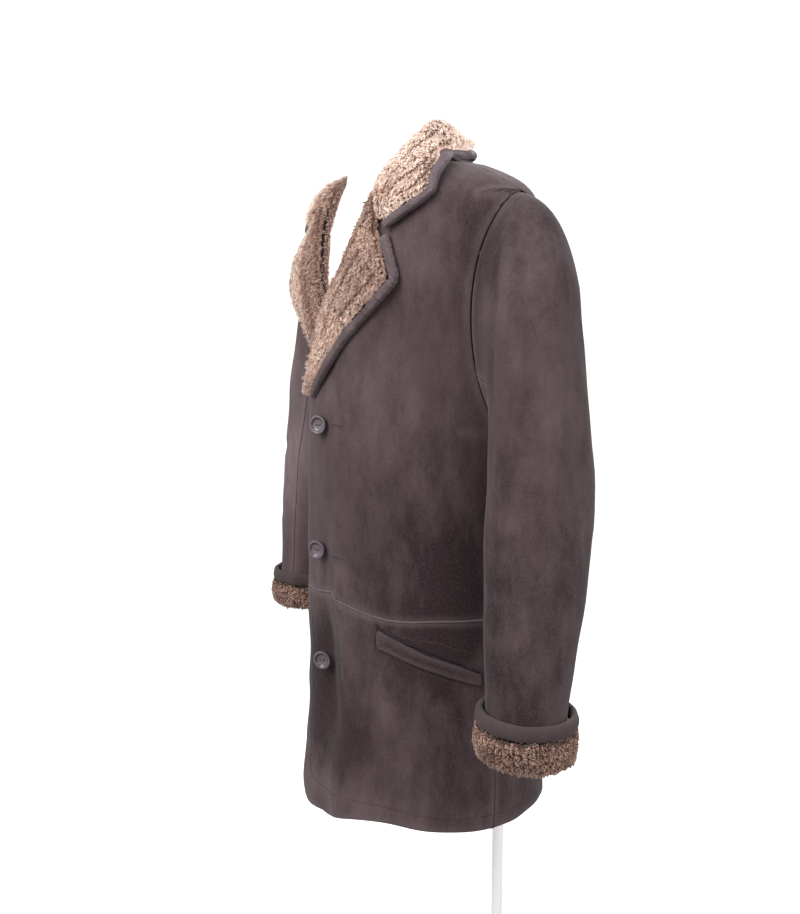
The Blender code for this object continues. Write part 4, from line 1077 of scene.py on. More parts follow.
# Streaks in the wool: how they are squeezed, how far they raise it, and how far they shade it.
STREAK_SQUEEZE = 5.5
STREAK_STRETCH = 0.9
STREAK_RISE = 0.16
STREAK_SHADE = 0.30
STREAK_LIMITS = (-1.6, 0.6)
SKIN_REACH = 0.018
SKIN_OFF = 0.0003
TURNED_IN_FRONT = -0.06
SEAM_REACH = 0.0045
SEAM_HELD = 0.95
GORGE_LOW = 1.462
GORGE_BEHIND = -0.085
GORGE_REACH = 0.024
GORGE_FULL = 0.45
GORGE_EASE = 0.012
GORGE_PULL = 0.46
# The collar's wool is a paler copy of the lapels' wool, with more glow: painted light on the collar,
# which faces up.
LIT_COLLAR_ROOT = colour(140, 100, 84)
LIT_COLLAR_MIDDLE = colour(246, 208, 188)
LIT_COLLAR_TIP = colour(255, 244, 232)
SKIN_ROOT = colour(96, 68, 58)
SKIN_TIP = colour(176, 140, 122)
SKIN_UNEVEN = 0.16
COLLAR_LOCK = 0.00044
COLLAR_BUNCH = 0.0026
GORGE_LINE = (
    (0.0800, -0.126, 1.510),
    (0.0880, -0.129, 1.493),
    (0.0945, -0.130, 1.478),
    (0.0970, -0.128, 1.462),
)
COLLAR_PARTINGS = (
    (
        (0.097, -0.047, 1.582), (0.104, -0.068, 1.569), (0.104, -0.084, 1.557), (0.102, -0.105, 1.534),
        (0.094, -0.116, 1.518), (0.092, -0.124, 1.504),
    ),
    (
        (0.094, -0.028, 1.566), (0.106, -0.050, 1.559), (0.135, -0.088, 1.536), (0.129, -0.100, 1.527),
        (0.113, -0.113, 1.517), (0.103, -0.121, 1.501),
    ),
    ((0.142, -0.060, 1.541), (0.148, -0.086, 1.526), (0.139, -0.106, 1.508), (0.119, -0.116, 1.498)),
    GORGE_LINE,
    # the right side, with its own run
    ((-0.120, -0.070, 1.555), (-0.118, -0.092, 1.536), (-0.104, -0.114, 1.512)),
    ((-0.100, -0.020, 1.575), (-0.112, -0.060, 1.566), (-0.100, -0.096, 1.545)),
    ((-0.060, 0.060, 1.580), (0.000, 0.078, 1.583), (0.060, 0.062, 1.580)),
)
LAPEL_PARTINGS = (
    (
        (0.088, -0.127, 1.498), (0.073, -0.133, 1.477), (0.060, -0.140, 1.457), (0.044, -0.146, 1.433),
        (0.028, -0.153, 1.409),
    ),
    (
        (0.070, -0.143, 1.435), (0.053, -0.151, 1.411), (0.042, -0.159, 1.387), (0.033, -0.166, 1.362),
        (0.024, -0.171, 1.338),
    ),
    (
        (0.099, -0.138, 1.406), (0.094, -0.141, 1.399), (0.084, -0.147, 1.389), (0.068, -0.156, 1.372),
        (0.055, -0.163, 1.353),
    ),
    ((0.081, -0.142, 1.420), (0.092, -0.140, 1.413), (0.099, -0.138, 1.406)),
    GORGE_LINE,
)

pile, pile_in, pile_out = new_effect(
    "pile_colour",
    [
        ("Tip Share", "NodeSocketFloat", 0.0),
        ("Tone", "NodeSocketFloat", 0.5),
        ("Root", "NodeSocketColor", WOOL_ROOT),
        ("Middle", "NodeSocketColor", WOOL_MIDDLE),
        ("Tip", "NodeSocketColor", WOOL_TIP),
    ],
    [("Color", "NodeSocketColor")],
)
pile_where = placed(pile)
patches = noise(pile, scale=38.0, detail=3.0, Vector=pile_where)
lower = ranged(pile, pile_in["Tip Share"], 0.0, 0.50)
low_toned = reckoned(pile, "MULTIPLY", lower, pile_in["Tone"], use_clamp=True)
upper = ranged(pile, pile_in["Tip Share"], 0.45, 1.0)
toned = reckoned(pile, "MULTIPLY", upper, pile_in["Tone"])
patched = ranged(pile, patches, 0.30, 0.56, to_low=0.45)
lit = reckoned(pile, "MULTIPLY", toned, patched)
pile_low = mixed(pile, low_toned, pile_in["Root"], pile_in["Middle"])
pile_high = mixed(pile, lit, pile_low, pile_in["Tip"])
pile.links.new(pile_high, pile_out["Color"])


def new_fleece(name, root, middle, tip, painted_glow):
    """Curly wool. It glows with painted light, so it is paler in its own shade than a solid would be.
    """
    finish, tree, shader = new_finish(
        name, Roughness=0.9, Sheen_Weight=0.3, Specular_IOR_Level=0.15, Emission_Strength=painted_glow
    )
    wool = place_effect(
        tree,
        pile,
        Tip_Share=stored(tree, "tip"),
        Tone=stored(tree, "tone"),
        Root=root,
        Middle=middle,
        Tip=tip,
    )
    tree.links.new(wool.outputs["Color"], shader.inputs["Base Color"])
    tree.links.new(wool.outputs["Color"], shader.inputs["Emission Color"])
    return finish


def surface_tree(pieces):
    """One searchable surface of several pieces as they stand."""
    points = []
    faces = []
    for piece in pieces:
        start = len(points)
        points += [vertex.co for vertex in piece.data.vertices]
        faces += [[start + corner for corner in face.vertices] for face in piece.data.polygons]
    return BVHTree.FromPolygons(points, faces)


def scattered(mesh, count, draw):
    """Places spread evenly by area over a mesh's wool side, with the smooth normal at each."""
    mesh.calc_loop_triangles()
    corners = np.empty(len(mesh.loop_triangles) * 3, np.int32)
    mesh.loop_triangles.foreach_get("vertices", corners)
    corners = corners.reshape(-1, 3)
    faces = np.empty(len(mesh.loop_triangles), np.int32)
    mesh.loop_triangles.foreach_get("polygon_index", faces)
    sides = np.empty(len(mesh.polygons), np.int32)
    mesh.polygons.foreach_get("material_index", sides)
    corners = corners[sides[faces] == 0]
    points = points_of(mesh)
    normals = points_of(mesh, "normal")
    a, b, c = (points[corners[:, k]] for k in range(3))
    areas = np.linalg.norm(np.cross(b - a, c - a), axis=1)
    chosen = draw.choice(len(corners), count, p=areas / areas.sum())
    u = np.sqrt(draw.random(count))
    v = draw.random(count)
    weights = np.stack([1.0 - u, u * (1.0 - v), u * v], axis=1)
    places = (points[corners[chosen]] * weights[:, :, None]).sum(axis=1)
    ups = (normals[corners[chosen]] * weights[:, :, None]).sum(axis=1)
    return places, ups / np.linalg.norm(ups, axis=1)[:, None]


def bunch_middles(places, spacing):
    """One place in each cell of a loose grid, and none much nearer than the spacing to another."""
    kept = []
    cells = {}
    cells_of = np.floor(places / spacing).astype(int).tolist()
    listed = places.tolist()
    limit = spacing * spacing * BUNCH_CROWDING
    for i, (x, y, z) in enumerate(cells_of):
        if (x, y, z) in cells:
            continue
        px, py, pz = listed[i]
        clear = True
        for dx in (-1, 0, 1):
            for dy in (-1, 0, 1):
                for dz in (-1, 0, 1):
                    k = cells.get((x + dx, y + dy, z + dz))
                    if k is None:
                        continue
                    qx, qy, qz = listed[k]
                    if (px - qx) ** 2 + (py - qy) ** 2 + (pz - qz) ** 2 < limit:
                        clear = False
        if clear:
            kept.append(i)
            cells[(x, y, z)] = i
    return kept


def laid_on(line, surface):
    """A line in short steps, laid on a surface."""
    line = np.array(line)
    lengths = np.concatenate([[0.0], np.cumsum(np.linalg.norm(np.diff(line, axis=0), axis=1))])
    steps = np.linspace(0.0, lengths[-1], max(int(lengths[-1] / PARTING_STEP), 2))
    fine = np.stack([np.interp(steps, lengths, line[:, axis]) for axis in range(3)], axis=1)
    return [np.array(surface.find_nearest(Vector(point))[0]) for point in fine]


def furrows(points, way, seed):
    """Soft long streaks that run one way, of about one unit."""
    way = np.array(way) / np.linalg.norm(way)
    along = points @ way
    lengthwise = along[:, None] * way
    return slow_waves((points - lengthwise) * STREAK_SQUEEZE + lengthwise * STREAK_STRETCH, seed)


def beside_line(points, line, reach):
    """How near each point is to a line, 1 on it and dying away beside it."""
    return np.exp(-((line_distance(points, line)[0] / reach) ** 2))


def unit(ways):
    """The same ways, each one unit long."""
    return ways / np.maximum(np.linalg.norm(ways, axis=-1, keepdims=True), 1e-9)


def grow_fleece(
    name,
    base,
    count,
    finish,
    blockers,
    seed,
    comb,
    length,
    thickness,
    bunch,
    tone_of,
    streak_way,
    partings=(),
):
    """Wool on a base: curled locks that lean together in bunches, as one joined mesh."""
    draw = np.random.default_rng(seed)
    partings = [laid_on(line, surface_tree([base])) for line in partings]
    places, ups = scattered(base.data, int(count * SPARE_SHARE), draw)
    free = np.array(
        [
            blockers.ray_cast(Vector(place + up * FOOT_LIFT), Vector(up), FOOT_ROOM)[0] is None
            for place, up in zip(places, ups)
        ]
    )
    for line in partings:
        free &= line_distance(places, line)[0] > PARTING_BARE
    places = places[free][:count]
    ups = ups[free][:count]
    count = len(places)
    kept = bunch_middles(places, bunch)
    finder = KDTree(len(kept))
    for i, k in enumerate(kept):
        finder.insert(places[k], i)
    finder.balance()
    nearest = np.array([finder.find(place)[1] for place in places])
    middles = places[kept][nearest]
    bunches = len(kept)
    lean = draw.normal(size=(bunches, 3)) * LEAN_SPREAD + np.array([comb(places[k]) for k in kept])
    for line in partings:
        less = PARTING_LESS_COMBED * beside_line(places[kept], line, PARTING_COMB)
        lean *= (1.0 - less)[:, None]
    lean = lean[nearest]
    lean -= ups * (lean * ups).sum(axis=1)[:, None]
    streak = furrows(places, streak_way, seed + 3)
    tall = draw.uniform(*BUNCH_HEIGHTS, bunches)[nearest] * draw.uniform(*LOCK_HEIGHTS, count)
    tall *= 1.0 + STREAK_RISE * streak
    for line in partings:
        tall *= 1.0 - PARTING_SHORTER * beside_line(places, line, PARTING_LOW)
    across = unit(np.cross(ups, draw.normal(size=(count, 3))))
    beside_up = np.cross(ups, across)
    pull = middles - places
    pull -= ups * (pull * ups).sum(axis=1)[:, None]
    spin = draw.uniform(0.0, WHOLE_TURN, bunches)[nearest] + draw.normal(size=count) * CURL_SPREAD
    turns = draw.uniform(*CURL_TURNS, count) * np.where(draw.random(bunches)[nearest] < 0.5, -1.0, 1.0)
    curl = draw.uniform(*CURL_RADII, count)
    rings = []
    for t in LOCK_STEPS:
        rise = length * tall * (t - DROOP * t * t)
        swing = curl * math.sqrt(t)
        middle = (
            places
            + ups * rise[:, None]
            + lean * (length * COMBED * t * t)
            + pull * (DRAWN_IN * t)
            + across * (swing * np.cos(spin + turns * t))[:, None]
            + beside_up * (swing * np.sin(spin + turns * t))[:, None]
        )
        rings.append(middle)
    rings = np.array(rings)
    radii = thickness * LOCK_TAPER
    along = unit(np.gradient(rings, axis=0))
    first = unit(np.cross(along, beside_up[None]))
    second = np.cross(along, first)
    points = np.empty((count, len(LOCK_STEPS), LOCK_SIDES, 3))
    size = draw.uniform(*LOCK_SIZES, count)
    roll = draw.uniform(0.0, math.pi, count)
    for k in range(LOCK_SIDES):
        turn = math.pi * k + roll
        offset = first * np.cos(turn)[None, :, None] + second * np.sin(turn)[None, :, None]
        offset *= radii[:, None, None] * size[None, :, None]
        points[:, :, k] = (rings + offset).transpose(1, 0, 2)
    steps = len(LOCK_STEPS)
    lows = np.arange(steps - 1) * LOCK_SIDES
    quads = np.stack([lows, lows + 1, lows + LOCK_SIDES + 1, lows + LOCK_SIDES], axis=1)
    starts = np.arange(count) * steps * LOCK_SIDES
    faces = (starts[:, None, None] + quads[None]).reshape(-1, 4)
    mesh = bpy.data.meshes.new(name)
    mesh.vertices.add(count * steps * LOCK_SIDES)
    mesh.vertices.foreach_set("co", points.ravel())
    mesh.loops.add(faces.size)
    mesh.loops.foreach_set("vertex_index", faces.ravel().astype(np.int32))
    mesh.polygons.add(len(faces))
    mesh.polygons.foreach_set("loop_start", np.arange(0, faces.size, 4, dtype=np.int32))
    mesh.update(calc_edges=True)
    mesh.validate()
    mesh.shade_smooth()
    ring_leans, ring_middles = (
        values.transpose(1, 0, 2)[:, :, None, :].repeat(LOCK_SIDES, axis=2).reshape(-1, 3)
        for values in (along, rings)
    )
    spread = unit(points.reshape(-1, 3) - ring_middles)
    upright = np.repeat(ups, steps * LOCK_SIDES, axis=0)
    soft = unit(upright * LOCK_SOFTNESS + spread * (1.0 - LOCK_SOFTNESS) + ring_leans * LOCK_LEAN)
    mesh.normals_split_custom_set_from_vertices(soft.tolist())
    store(mesh, "tip", np.repeat(np.tile(LOCK_STEPS, count), LOCK_SIDES))
    tones = draw.uniform(*BUNCH_TONES, bunches)[nearest] * draw.uniform(*LOCK_TONES, count)
    tones = np.clip(tones * tone_of(places), *TONE_LIMITS)
    tones *= 1.0 + STREAK_SHADE * np.clip(streak, *STREAK_LIMITS)
    for line in partings:
        tones *= 1.0 - PARTING_DARKER * beside_line(places, line, PARTING_SHADE)
    store(mesh, "tone", np.repeat(tones, steps * LOCK_SIDES))
    return new_piece(name, mesh, finish)


def underside(piece, below, reach):
    """Gives the faces that look at the surface below them, within reach, the second material."""
    for face in piece.data.polygons:
        start = face.center + face.normal * SKIN_OFF
        turned_in = face.center.x < 0.0 and face.center.y < TURNED_IN_FRONT
        covered = below.ray_cast(start, face.normal, reach)[0] is not None
        face.material_index = int(covered and not turned_in)


def keep_beside(points, normals, neighbour):
    """How much a point may be drawn in: little where it faces a close neighbour along a seam."""
    share = np.ones(len(points))
    for i, (point, normal) in enumerate(zip(points, normals)):
        found, _, _, away = neighbour.find_nearest(Vector(point), SEAM_REACH)
        if found is None:
            continue
        way = np.array(found) - point
        facing = max(float(way @ normal) / max(away, 1e-6), 0.0)
        share[i] = 1.0 - SEAM_HELD * facing
    return share


def close_gorge(points, neighbour):
    """Draws a piece's upper front corner to the piece it is sewn to, so that no opening is left."""
    moved = points.copy()
    for i, point in enumerate(points):
        if point[2] < GORGE_LOW or point[1] > GORGE_BEHIND:
            continue
        found, _, _, away = neighbour.find_nearest(Vector(point), GORGE_REACH)
        if found is None:
            continue
        pull = GORGE_PULL * ramp(GORGE_REACH, GORGE_REACH * GORGE_FULL, away)
        pull *= ramp(GORGE_LOW, GORGE_LOW + GORGE_EASE, point[2])
        moved[i] = point + (np.array(found) - point) * pull
    return moved


def inset(piece, seed, neighbour=None):
    """Draws a piece's surface inwards, unevenly, to make room for the wool that grows on it."""
    mesh = piece.data
    points = points_of(mesh)
    normals = points_of(mesh, "normal")
    uneven = 1.0 + SKIN_UNEVEN * slow_waves(points * SKIN_WAVES, seed)
    if neighbour is not None:
        uneven *= keep_beside(points, normals, neighbour)
        points = close_gorge(points, neighbour)
    set_points(mesh, points - normals * (FLEECE_INSET * uneven)[:, None])


fleece = new_fleece("curly_fleece", WOOL_ROOT, WOOL_MIDDLE, WOOL_TIP, painted_glow=0.40)
lit_collar_fleece = new_fleece("lit_collar_fleece", LIT_COLLAR_ROOT, LIT_COLLAR_MIDDLE, LIT_COLLAR_TIP, painted_glow=0.64)
fleece_roots = new_flat_fleece("fleece_roots", SKIN_ROOT, SKIN_TIP, scale=330.0)


NECK_MIDDLE_Y = -0.02
COMBED_OUT = 0.65
COMBED_DOWN = np.array([0.0, 0.0, -0.75])
# The tones of the collar and lapels, with their painted light and shade, how far they change, and
# where.
COLLAR_TONE = 1.05
COLLAR_PAINTED_LIGHT = 0.75
COLLAR_PAINTED_LIGHT_Z = (1.500, 1.575)
TURNED_IN_PAINTED_SHADE = 0.72
TURNED_IN_X = (-0.020, -0.050)
TURNED_IN_Y = (0.020, -0.040)
TURNED_IN_END_X = (-0.104, -0.086)
RIGHT_LAPEL_TONE = 1.60
RIGHT_LAPEL_PAINTED_SHADE = 1.20
ROLL_HEIGHTS = (1.290, 1.358, 1.411, 1.443)
ROLL_X = (-0.021, -0.047, -0.060, -0.071)
ROLL_BLEND = (-0.004, 0.006)
LEFT_LAPEL_TONE = 0.66
LEFT_LAPEL_PALER = 0.34
LEFT_LAPEL_PALER_Z = (1.400, 1.330)


def comb_collar(place):
    """The collar's wool is brushed down and away from the neck."""
    outward = np.array([place[0], place[1] - NECK_MIDDLE_Y, 0.0])
    outward /= max(np.linalg.norm(outward), 1e-6)
    return outward * COMBED_OUT + COMBED_DOWN


def tone_collar(places):
    """The collar's wool is paler than the lapels', with painted light higher up, and darker with
    painted shade on its right front, where it turns in.
    """
    pale = COLLAR_TONE + COLLAR_PAINTED_LIGHT * ramp(*COLLAR_PAINTED_LIGHT_Z, places[:, 2])
    turned_in = ramp(*TURNED_IN_X, places[:, 0]) * ramp(*TURNED_IN_Y, places[:, 1])
    turned_in *= ramp(*TURNED_IN_END_X, places[:, 0])
    return pale * (1.0 - TURNED_IN_PAINTED_SHADE * turned_in)


def tone_right_lapel(places):
    """The side of the right lapel that turns into the neck opening is darker, with painted shade."""
    line_x = np.interp(places[:, 2], ROLL_HEIGHTS, ROLL_X)
    return RIGHT_LAPEL_TONE - RIGHT_LAPEL_PAINTED_SHADE * ramp(*ROLL_BLEND, places[:, 0] - line_x)


def tone_left_lapel(places):
    """The left lapel is in its own shade, and paler towards its lower end."""
    return LEFT_LAPEL_TONE + LEFT_LAPEL_PALER * ramp(*LEFT_LAPEL_PALER_Z, places[:, 2])


FLEECE_PIECES = {
    # node: finish, locks, length, seed, tone, the way its streaks run, partings, and what it is sewn to
    "collar": (
        (lit_collar_fleece, 46000, 0.0060, 21, tone_collar, (-0.62, -0.45, -0.62), COLLAR_PARTINGS),
        ("lapel_left", "lapel_right"),
    ),
    "lapel_left": (
        (fleece, 29000, 0.0058, 22, tone_left_lapel, (-0.42, -0.22, -0.88), LAPEL_PARTINGS),
        ("collar",),
    ),
    "lapel_right": (
        (fleece, 27000, 0.0058, 23, tone_right_lapel, (0.42, -0.22, -0.88), ()),
        ("collar",),
    ),
}
FLEECE_FLAT = {
    # node: flat width and length of its cut, flat area
    "collar": (0.085, 0.420, 0.0270),
    "lapel_left": (0.100, 0.270, 0.0165),
    "lapel_right": (0.100, 0.250, 0.0145),
}
bodies = surface_tree(list(hides.values()))
for node, (wool_values, sewn_to) in FLEECE_PIECES.items():
    finish, locks, length, seed, tone_of, streak_way, partings = wool_values
    flat_width, flat_length, flat_area = FLEECE_FLAT[node]
    backing = smoothed_piece(node, node + "_skin", (fleece_roots, nubuck), SKIN_CREASE)
    underside(backing, bodies, SKIN_REACH)
    inset(backing, seed, surface_tree([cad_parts[other] for other in sewn_to]))
    set_points(backing.data, shape_neck(points_of(backing.data)))
    wool = grow_fleece(
        node + "_wool",
        backing,
        count=locks,
        finish=finish,
        blockers=bodies,
        seed=seed,
        comb=comb_collar,
        length=length,
        thickness=COLLAR_LOCK,
        bunch=COLLAR_BUNCH,
        tone_of=tone_of,
        streak_way=streak_way,
        partings=partings,
    )
    for piece in (backing, wool):
        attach(piece, "root")
    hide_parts(node)
    hides[node] = backing


# The wool side of the right front shows in the neck opening, inside the right lapel, and is darker with
# painted shade.
OPENING_Z = (1.325, 1.530)
OPENING_X = -0.090
OPENING_Y = -0.075
OPENING_FACING = 0.3
OPENING_TONE = 0.42


def in_opening(face):
    """Whether a face of the right front shows in the neck opening."""
    middle = face.calc_center_median()
    near = OPENING_Z[0] < middle.z < OPENING_Z[1] and middle.x > OPENING_X and middle.y < OPENING_Y
    return near and (face.normal.x > OPENING_FACING or face.material_index == 1)


def tone_opening(places):
    """The wool in the neck opening is in deep shade, the same all over."""
    return np.full(len(places), OPENING_TONE)


inner_faces = bmesh.new()
inner_faces.from_mesh(hides["front_right"].data)
outside = [face for face in inner_faces.faces if not in_opening(face)]
bmesh.ops.delete(inner_faces, geom=outside, context="FACES")
opening_mesh = bpy.data.meshes.new("neck_opening_base")
for face in inner_faces.faces:
    face.material_index = 0
inner_faces.to_mesh(opening_mesh)
inner_faces.free()
opening_base = new_piece("neck_opening_base", opening_mesh, fleece_roots)
opening_wool = grow_fleece(
    "neck_opening_wool",
    opening_base,
    count=9000,
    finish=fleece,
    blockers=surface_tree([hides["lapel_right"], hides["collar"]]),
    seed=25,
    comb=comb_collar,
    length=0.0050,
    thickness=0.00048,
    bunch=0.0030,
    tone_of=tone_opening,
    streak_way=(0.0, 0.0, 1.0),
)
bpy.data.objects.remove(opening_base)
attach(opening_wool, "root")


# ---------------------------------------------------------------------------------------------
# Cuffs: the sleeve's end turned back, wool out, with a broad rolled rim of the suede side
# along its upper edge. Each is one band, joined under the arm.
# ---------------------------------------------------------------------------------------------
# The cuff's wool is a darker copy of the collar's wool: painted shade, with a little glow of painted
# light.
SHADED_CUFF_TIP = colour(248, 208, 188)
SHADED_CUFF_MIDDLE = colour(182, 140, 124)
SHADED_CUFF_ROOT = colour(96, 68, 60)
shaded_cuff_fleece = new_fleece("shaded_cuff_fleece", SHADED_CUFF_ROOT, SHADED_CUFF_MIDDLE, SHADED_CUFF_TIP, painted_glow=0.17)
RIM_DEEP = colour(64, 50, 52)
RIM_MIDDLE = colour(98, 82, 84)
# The pale colour of rubbed suede, also used for painted highlight.
RIM_RUBBED_AND_HIGHLIGHT = colour(126, 110, 112)
RIM_UNEVEN = 0.0009
RIM_WAVES = 2.6
CUFF_LOCKS = 22000
CUFF_LENGTH = 0.0056
CUFF_LOCK = 0.00046
CUFF_BUNCH = 0.0023
rim_hide = new_hide(
    "rolled_rim", RIM_DEEP, RIM_MIDDLE, RIM_RUBBED_AND_HIGHLIGHT, roughness=0.84, grain_depth=0.0009
)


def comb_cuff(place):
    """The cuff's wool hangs straight down."""
    return np.array([0.0, 0.0, -0.35])


def tone_cuff(places):
    """The cuff's wool has one tone all round."""
    return np.ones(len(places))


for side, seed in (("left", 31), ("right", 32)):
    rim = smoothed_piece(f"cuff_rim_{side}", f"cuff_rim_{side}_roll", (rim_hide,), rim_crease=0.0)
    points = points_of(rim.data)
    outward_of = sleeve_outward(side)
    rise = RIM_UNEVEN * slow_waves(points * RIM_WAVES, seed)
    set_points(rim.data, points + outward_of(points) * rise[:, None])
    band = smoothed_piece(f"cuff_fur_{side}", f"cuff_band_{side}", (fleece_roots,), SKIN_CREASE)
    inset(band, seed)
    near = surface_tree([hides[f"sleeve_top_{side}"], hides[f"sleeve_under_{side}"], rim])
    wool = grow_fleece(
        f"cuff_wool_{side}",
        band,
        count=CUFF_LOCKS,
        finish=shaded_cuff_fleece,
        blockers=near,
        seed=seed,
        comb=comb_cuff,
        length=CUFF_LENGTH,
        thickness=CUFF_LOCK,
        bunch=CUFF_BUNCH,
        tone_of=tone_cuff,
        streak_way=(1.0, 0.0, 0.0),
    )
    for piece in (rim, band, wool):
        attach(piece, "root")
    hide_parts(f"cuff_rim_{side}")
    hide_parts(f"cuff_fur_{side}")
    hides[f"cuff_rim_{side}"] = rim
    hides[f"cuff_fur_{side}"] = band


# ---------------------------------------------------------------------------------------------
# Edging of collar and lapels: a strip of thin smooth leather gathered round the cut edge, so
# that it ruches across its width, most of all on the short edges and at the corners.
# ---------------------------------------------------------------------------------------------
EDGING_DEEP = colour(80, 67, 70)
EDGING_MIDDLE = colour(124, 108, 112)
# The pale colour of rubbed leather, also used for painted highlight.
EDGING_RUBBED_AND_HIGHLIGHT = colour(150, 135, 139)
GATHER_SCALE = (60.0, 60.0, 60.0)
GATHERS_ALONG = 430.0
GATHER_DEPTH = 0.0022
RUCHE_SPACING = 0.0062
RUCHE_WIDTH = 0.0019
RUCHE_RISE = 0.0013
RUCHE_START = 0.002
# How uneven the gathers are: their widths, heights and spacing, and how they wander.
RUCHE_WIDTHS = (0.7, 1.5)
RUCHE_HEIGHTS = (0.25, 1.0)
RUCHE_SPACINGS = (0.5, 1.5)
RUCHE_WANDER = 0.0014
RUCHE_WANDER_WAVES = 5.0
RUCHE_SUNK = 0.45
RUCHE_EVEN = 0.75
RUCHE_UNEVEN = 0.35
RUCHE_WAVES = 3.0
edging_leather = new_hide(
    "edging_leather",
    EDGING_DEEP,
    EDGING_MIDDLE,
    EDGING_RUBBED_AND_HIGHLIGHT,
    roughness=0.50,
    grain_depth=0.0003,
    cloud_scale=30.0,
    sheen=0.05,
)
edging_tree = edging_leather.node_tree
strip_places = add_node(
    edging_tree,
    "ShaderNodeVectorMath",
    {"operation": "MULTIPLY"},
    {0: placed(edging_tree), 1: GATHER_SCALE},
)
strip_step = reckoned(edging_tree, "MULTIPLY", stored(edging_tree, "along"), GATHERS_ALONG)
strip_axis = add_node(edging_tree, "ShaderNodeCombineXYZ", inputs={"X": strip_step})
strip_sum = add_node(
    edging_tree,
    "ShaderNodeVectorMath",
    {"operation": "ADD"},
    {0: strip_places.outputs["Vector"], 1: strip_axis.outputs["Vector"]},
)
gathers = noise(edging_tree, scale=1.0, detail=3.0, Vector=strip_sum.outputs["Vector"])
edging_shader = edging_tree.nodes["Principled BSDF"]
fine_relief = edging_shader.inputs["Normal"].links[0].from_socket
gathered = raised(edging_tree, gathers, strength=0.9, distance=GATHER_DEPTH, Normal=fine_relief)
edging_tree.links.new(gathered, edging_shader.inputs["Normal"])


def distance_along(mesh):
    """Each point's way along a strip from one of its ends, through the mesh."""
    points = points_of(mesh)
    made = bmesh.new()
    made.from_mesh(mesh)
    made.verts.ensure_lookup_table()
    start = 0
    for _ in range(2):
        far = np.full(len(points), np.inf)
        far[start] = 0.0
        waiting = [(0.0, start)]
        while waiting:
            done, at = heapq.heappop(waiting)
            if done > far[at]:
                continue
            for edge in made.verts[at].link_edges:
                other = edge.other_vert(made.verts[at]).index
                there = done + edge.calc_length()
                if there < far[other]:
                    far[other] = there
                    heapq.heappush(waiting, (there, other))
        start = int(np.argmax(far))
    made.free()
    return far


def ruche(mesh, seed):
    """Raises uneven gathers across a strip and sinks the hollows between them."""
    draw = np.random.default_rng(seed)
    points = points_of(mesh)
    along = distance_along(mesh) + RUCHE_WANDER * slow_waves(points * RUCHE_WANDER_WAVES, seed)
    rise = np.zeros(len(points))
    place = RUCHE_START
    while place < along.max():
        width = RUCHE_WIDTH * draw.uniform(*RUCHE_WIDTHS)
        rise += draw.uniform(*RUCHE_HEIGHTS) * np.exp(-(((along - place) / width) ** 2))
        place += RUCHE_SPACING * draw.uniform(*RUCHE_SPACINGS)
    height = RUCHE_EVEN + RUCHE_UNEVEN * slow_waves(points * RUCHE_WAVES, seed + 1)
    gathers = RUCHE_RISE * (rise - RUCHE_SUNK) * height
    set_points(mesh, points + points_of(mesh, "normal") * gathers[:, None])
    store(mesh, "along", along)


EDGING_STRIPS = (
    # node, seed, flat width and length, what it is sewn round
    ("edging_collar", 51, 0.030, 0.420, "collar"),
    ("edging_lapel_left", 52, 0.026, 0.200, "lapel_left"),
    ("edging_lapel_right", 53, 0.026, 0.165, "lapel_right"),
)
for node, seed, flat_width, flat_length, edge_of in EDGING_STRIPS:
    strip = smoothed_piece(node, node + "_strip", (edging_leather,), rim_crease=0.25, levels=3)
    set_points(strip.data, shape_neck(points_of(strip.data)))
    ruche(strip.data, seed)
    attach(strip, "root")
    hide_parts(node)
    hides[node] = strip


# ---------------------------------------------------------------------------------------------
# Pocket welts: a folded strip of the same suede sewn over a slanted opening, stitched down
# with two rows along its lower edge.
# ---------------------------------------------------------------------------------------------
ROW_SMOOTHINGS = 6


def dropped_row(line, surface, step):
    """Places at even steps along a smooth line, dropped onto the surface, with its normals."""
    line = np.array(line)
    lengths = np.concatenate([[0.0], np.cumsum(np.linalg.norm(np.diff(line, axis=0), axis=1))])
    fine = np.linspace(0.0, lengths[-1], max(int(lengths[-1] / step * 2) + 1, 5))
    smooth = np.stack([np.interp(fine, lengths, line[:, axis]) for axis in range(3)], axis=1)
    for _ in range(ROW_SMOOTHINGS):
        smooth[1:-1] = (smooth[:-2] + 2.0 * smooth[1:-1] + smooth[2:]) / 4.0
    places = []
    ups = []
    for point in smooth:
        found, normal, _, _ = surface.find_nearest(Vector(point))
        places.append(np.array(found))
        ups.append(np.array(normal))
    return np.array(places), np.array(ups)


POCKET_X = (0.104, 0.108, 0.132, 0.170, 0.193)
POCKET_TOP = (0.9720, 0.9690, 0.9600, 0.9470, 0.9300)
POCKET_LIFT = 0.0170
POCKET_LIFT_X = (0.165, 0.105)
POCKET_LIFT_Z = (-0.017, -0.004)
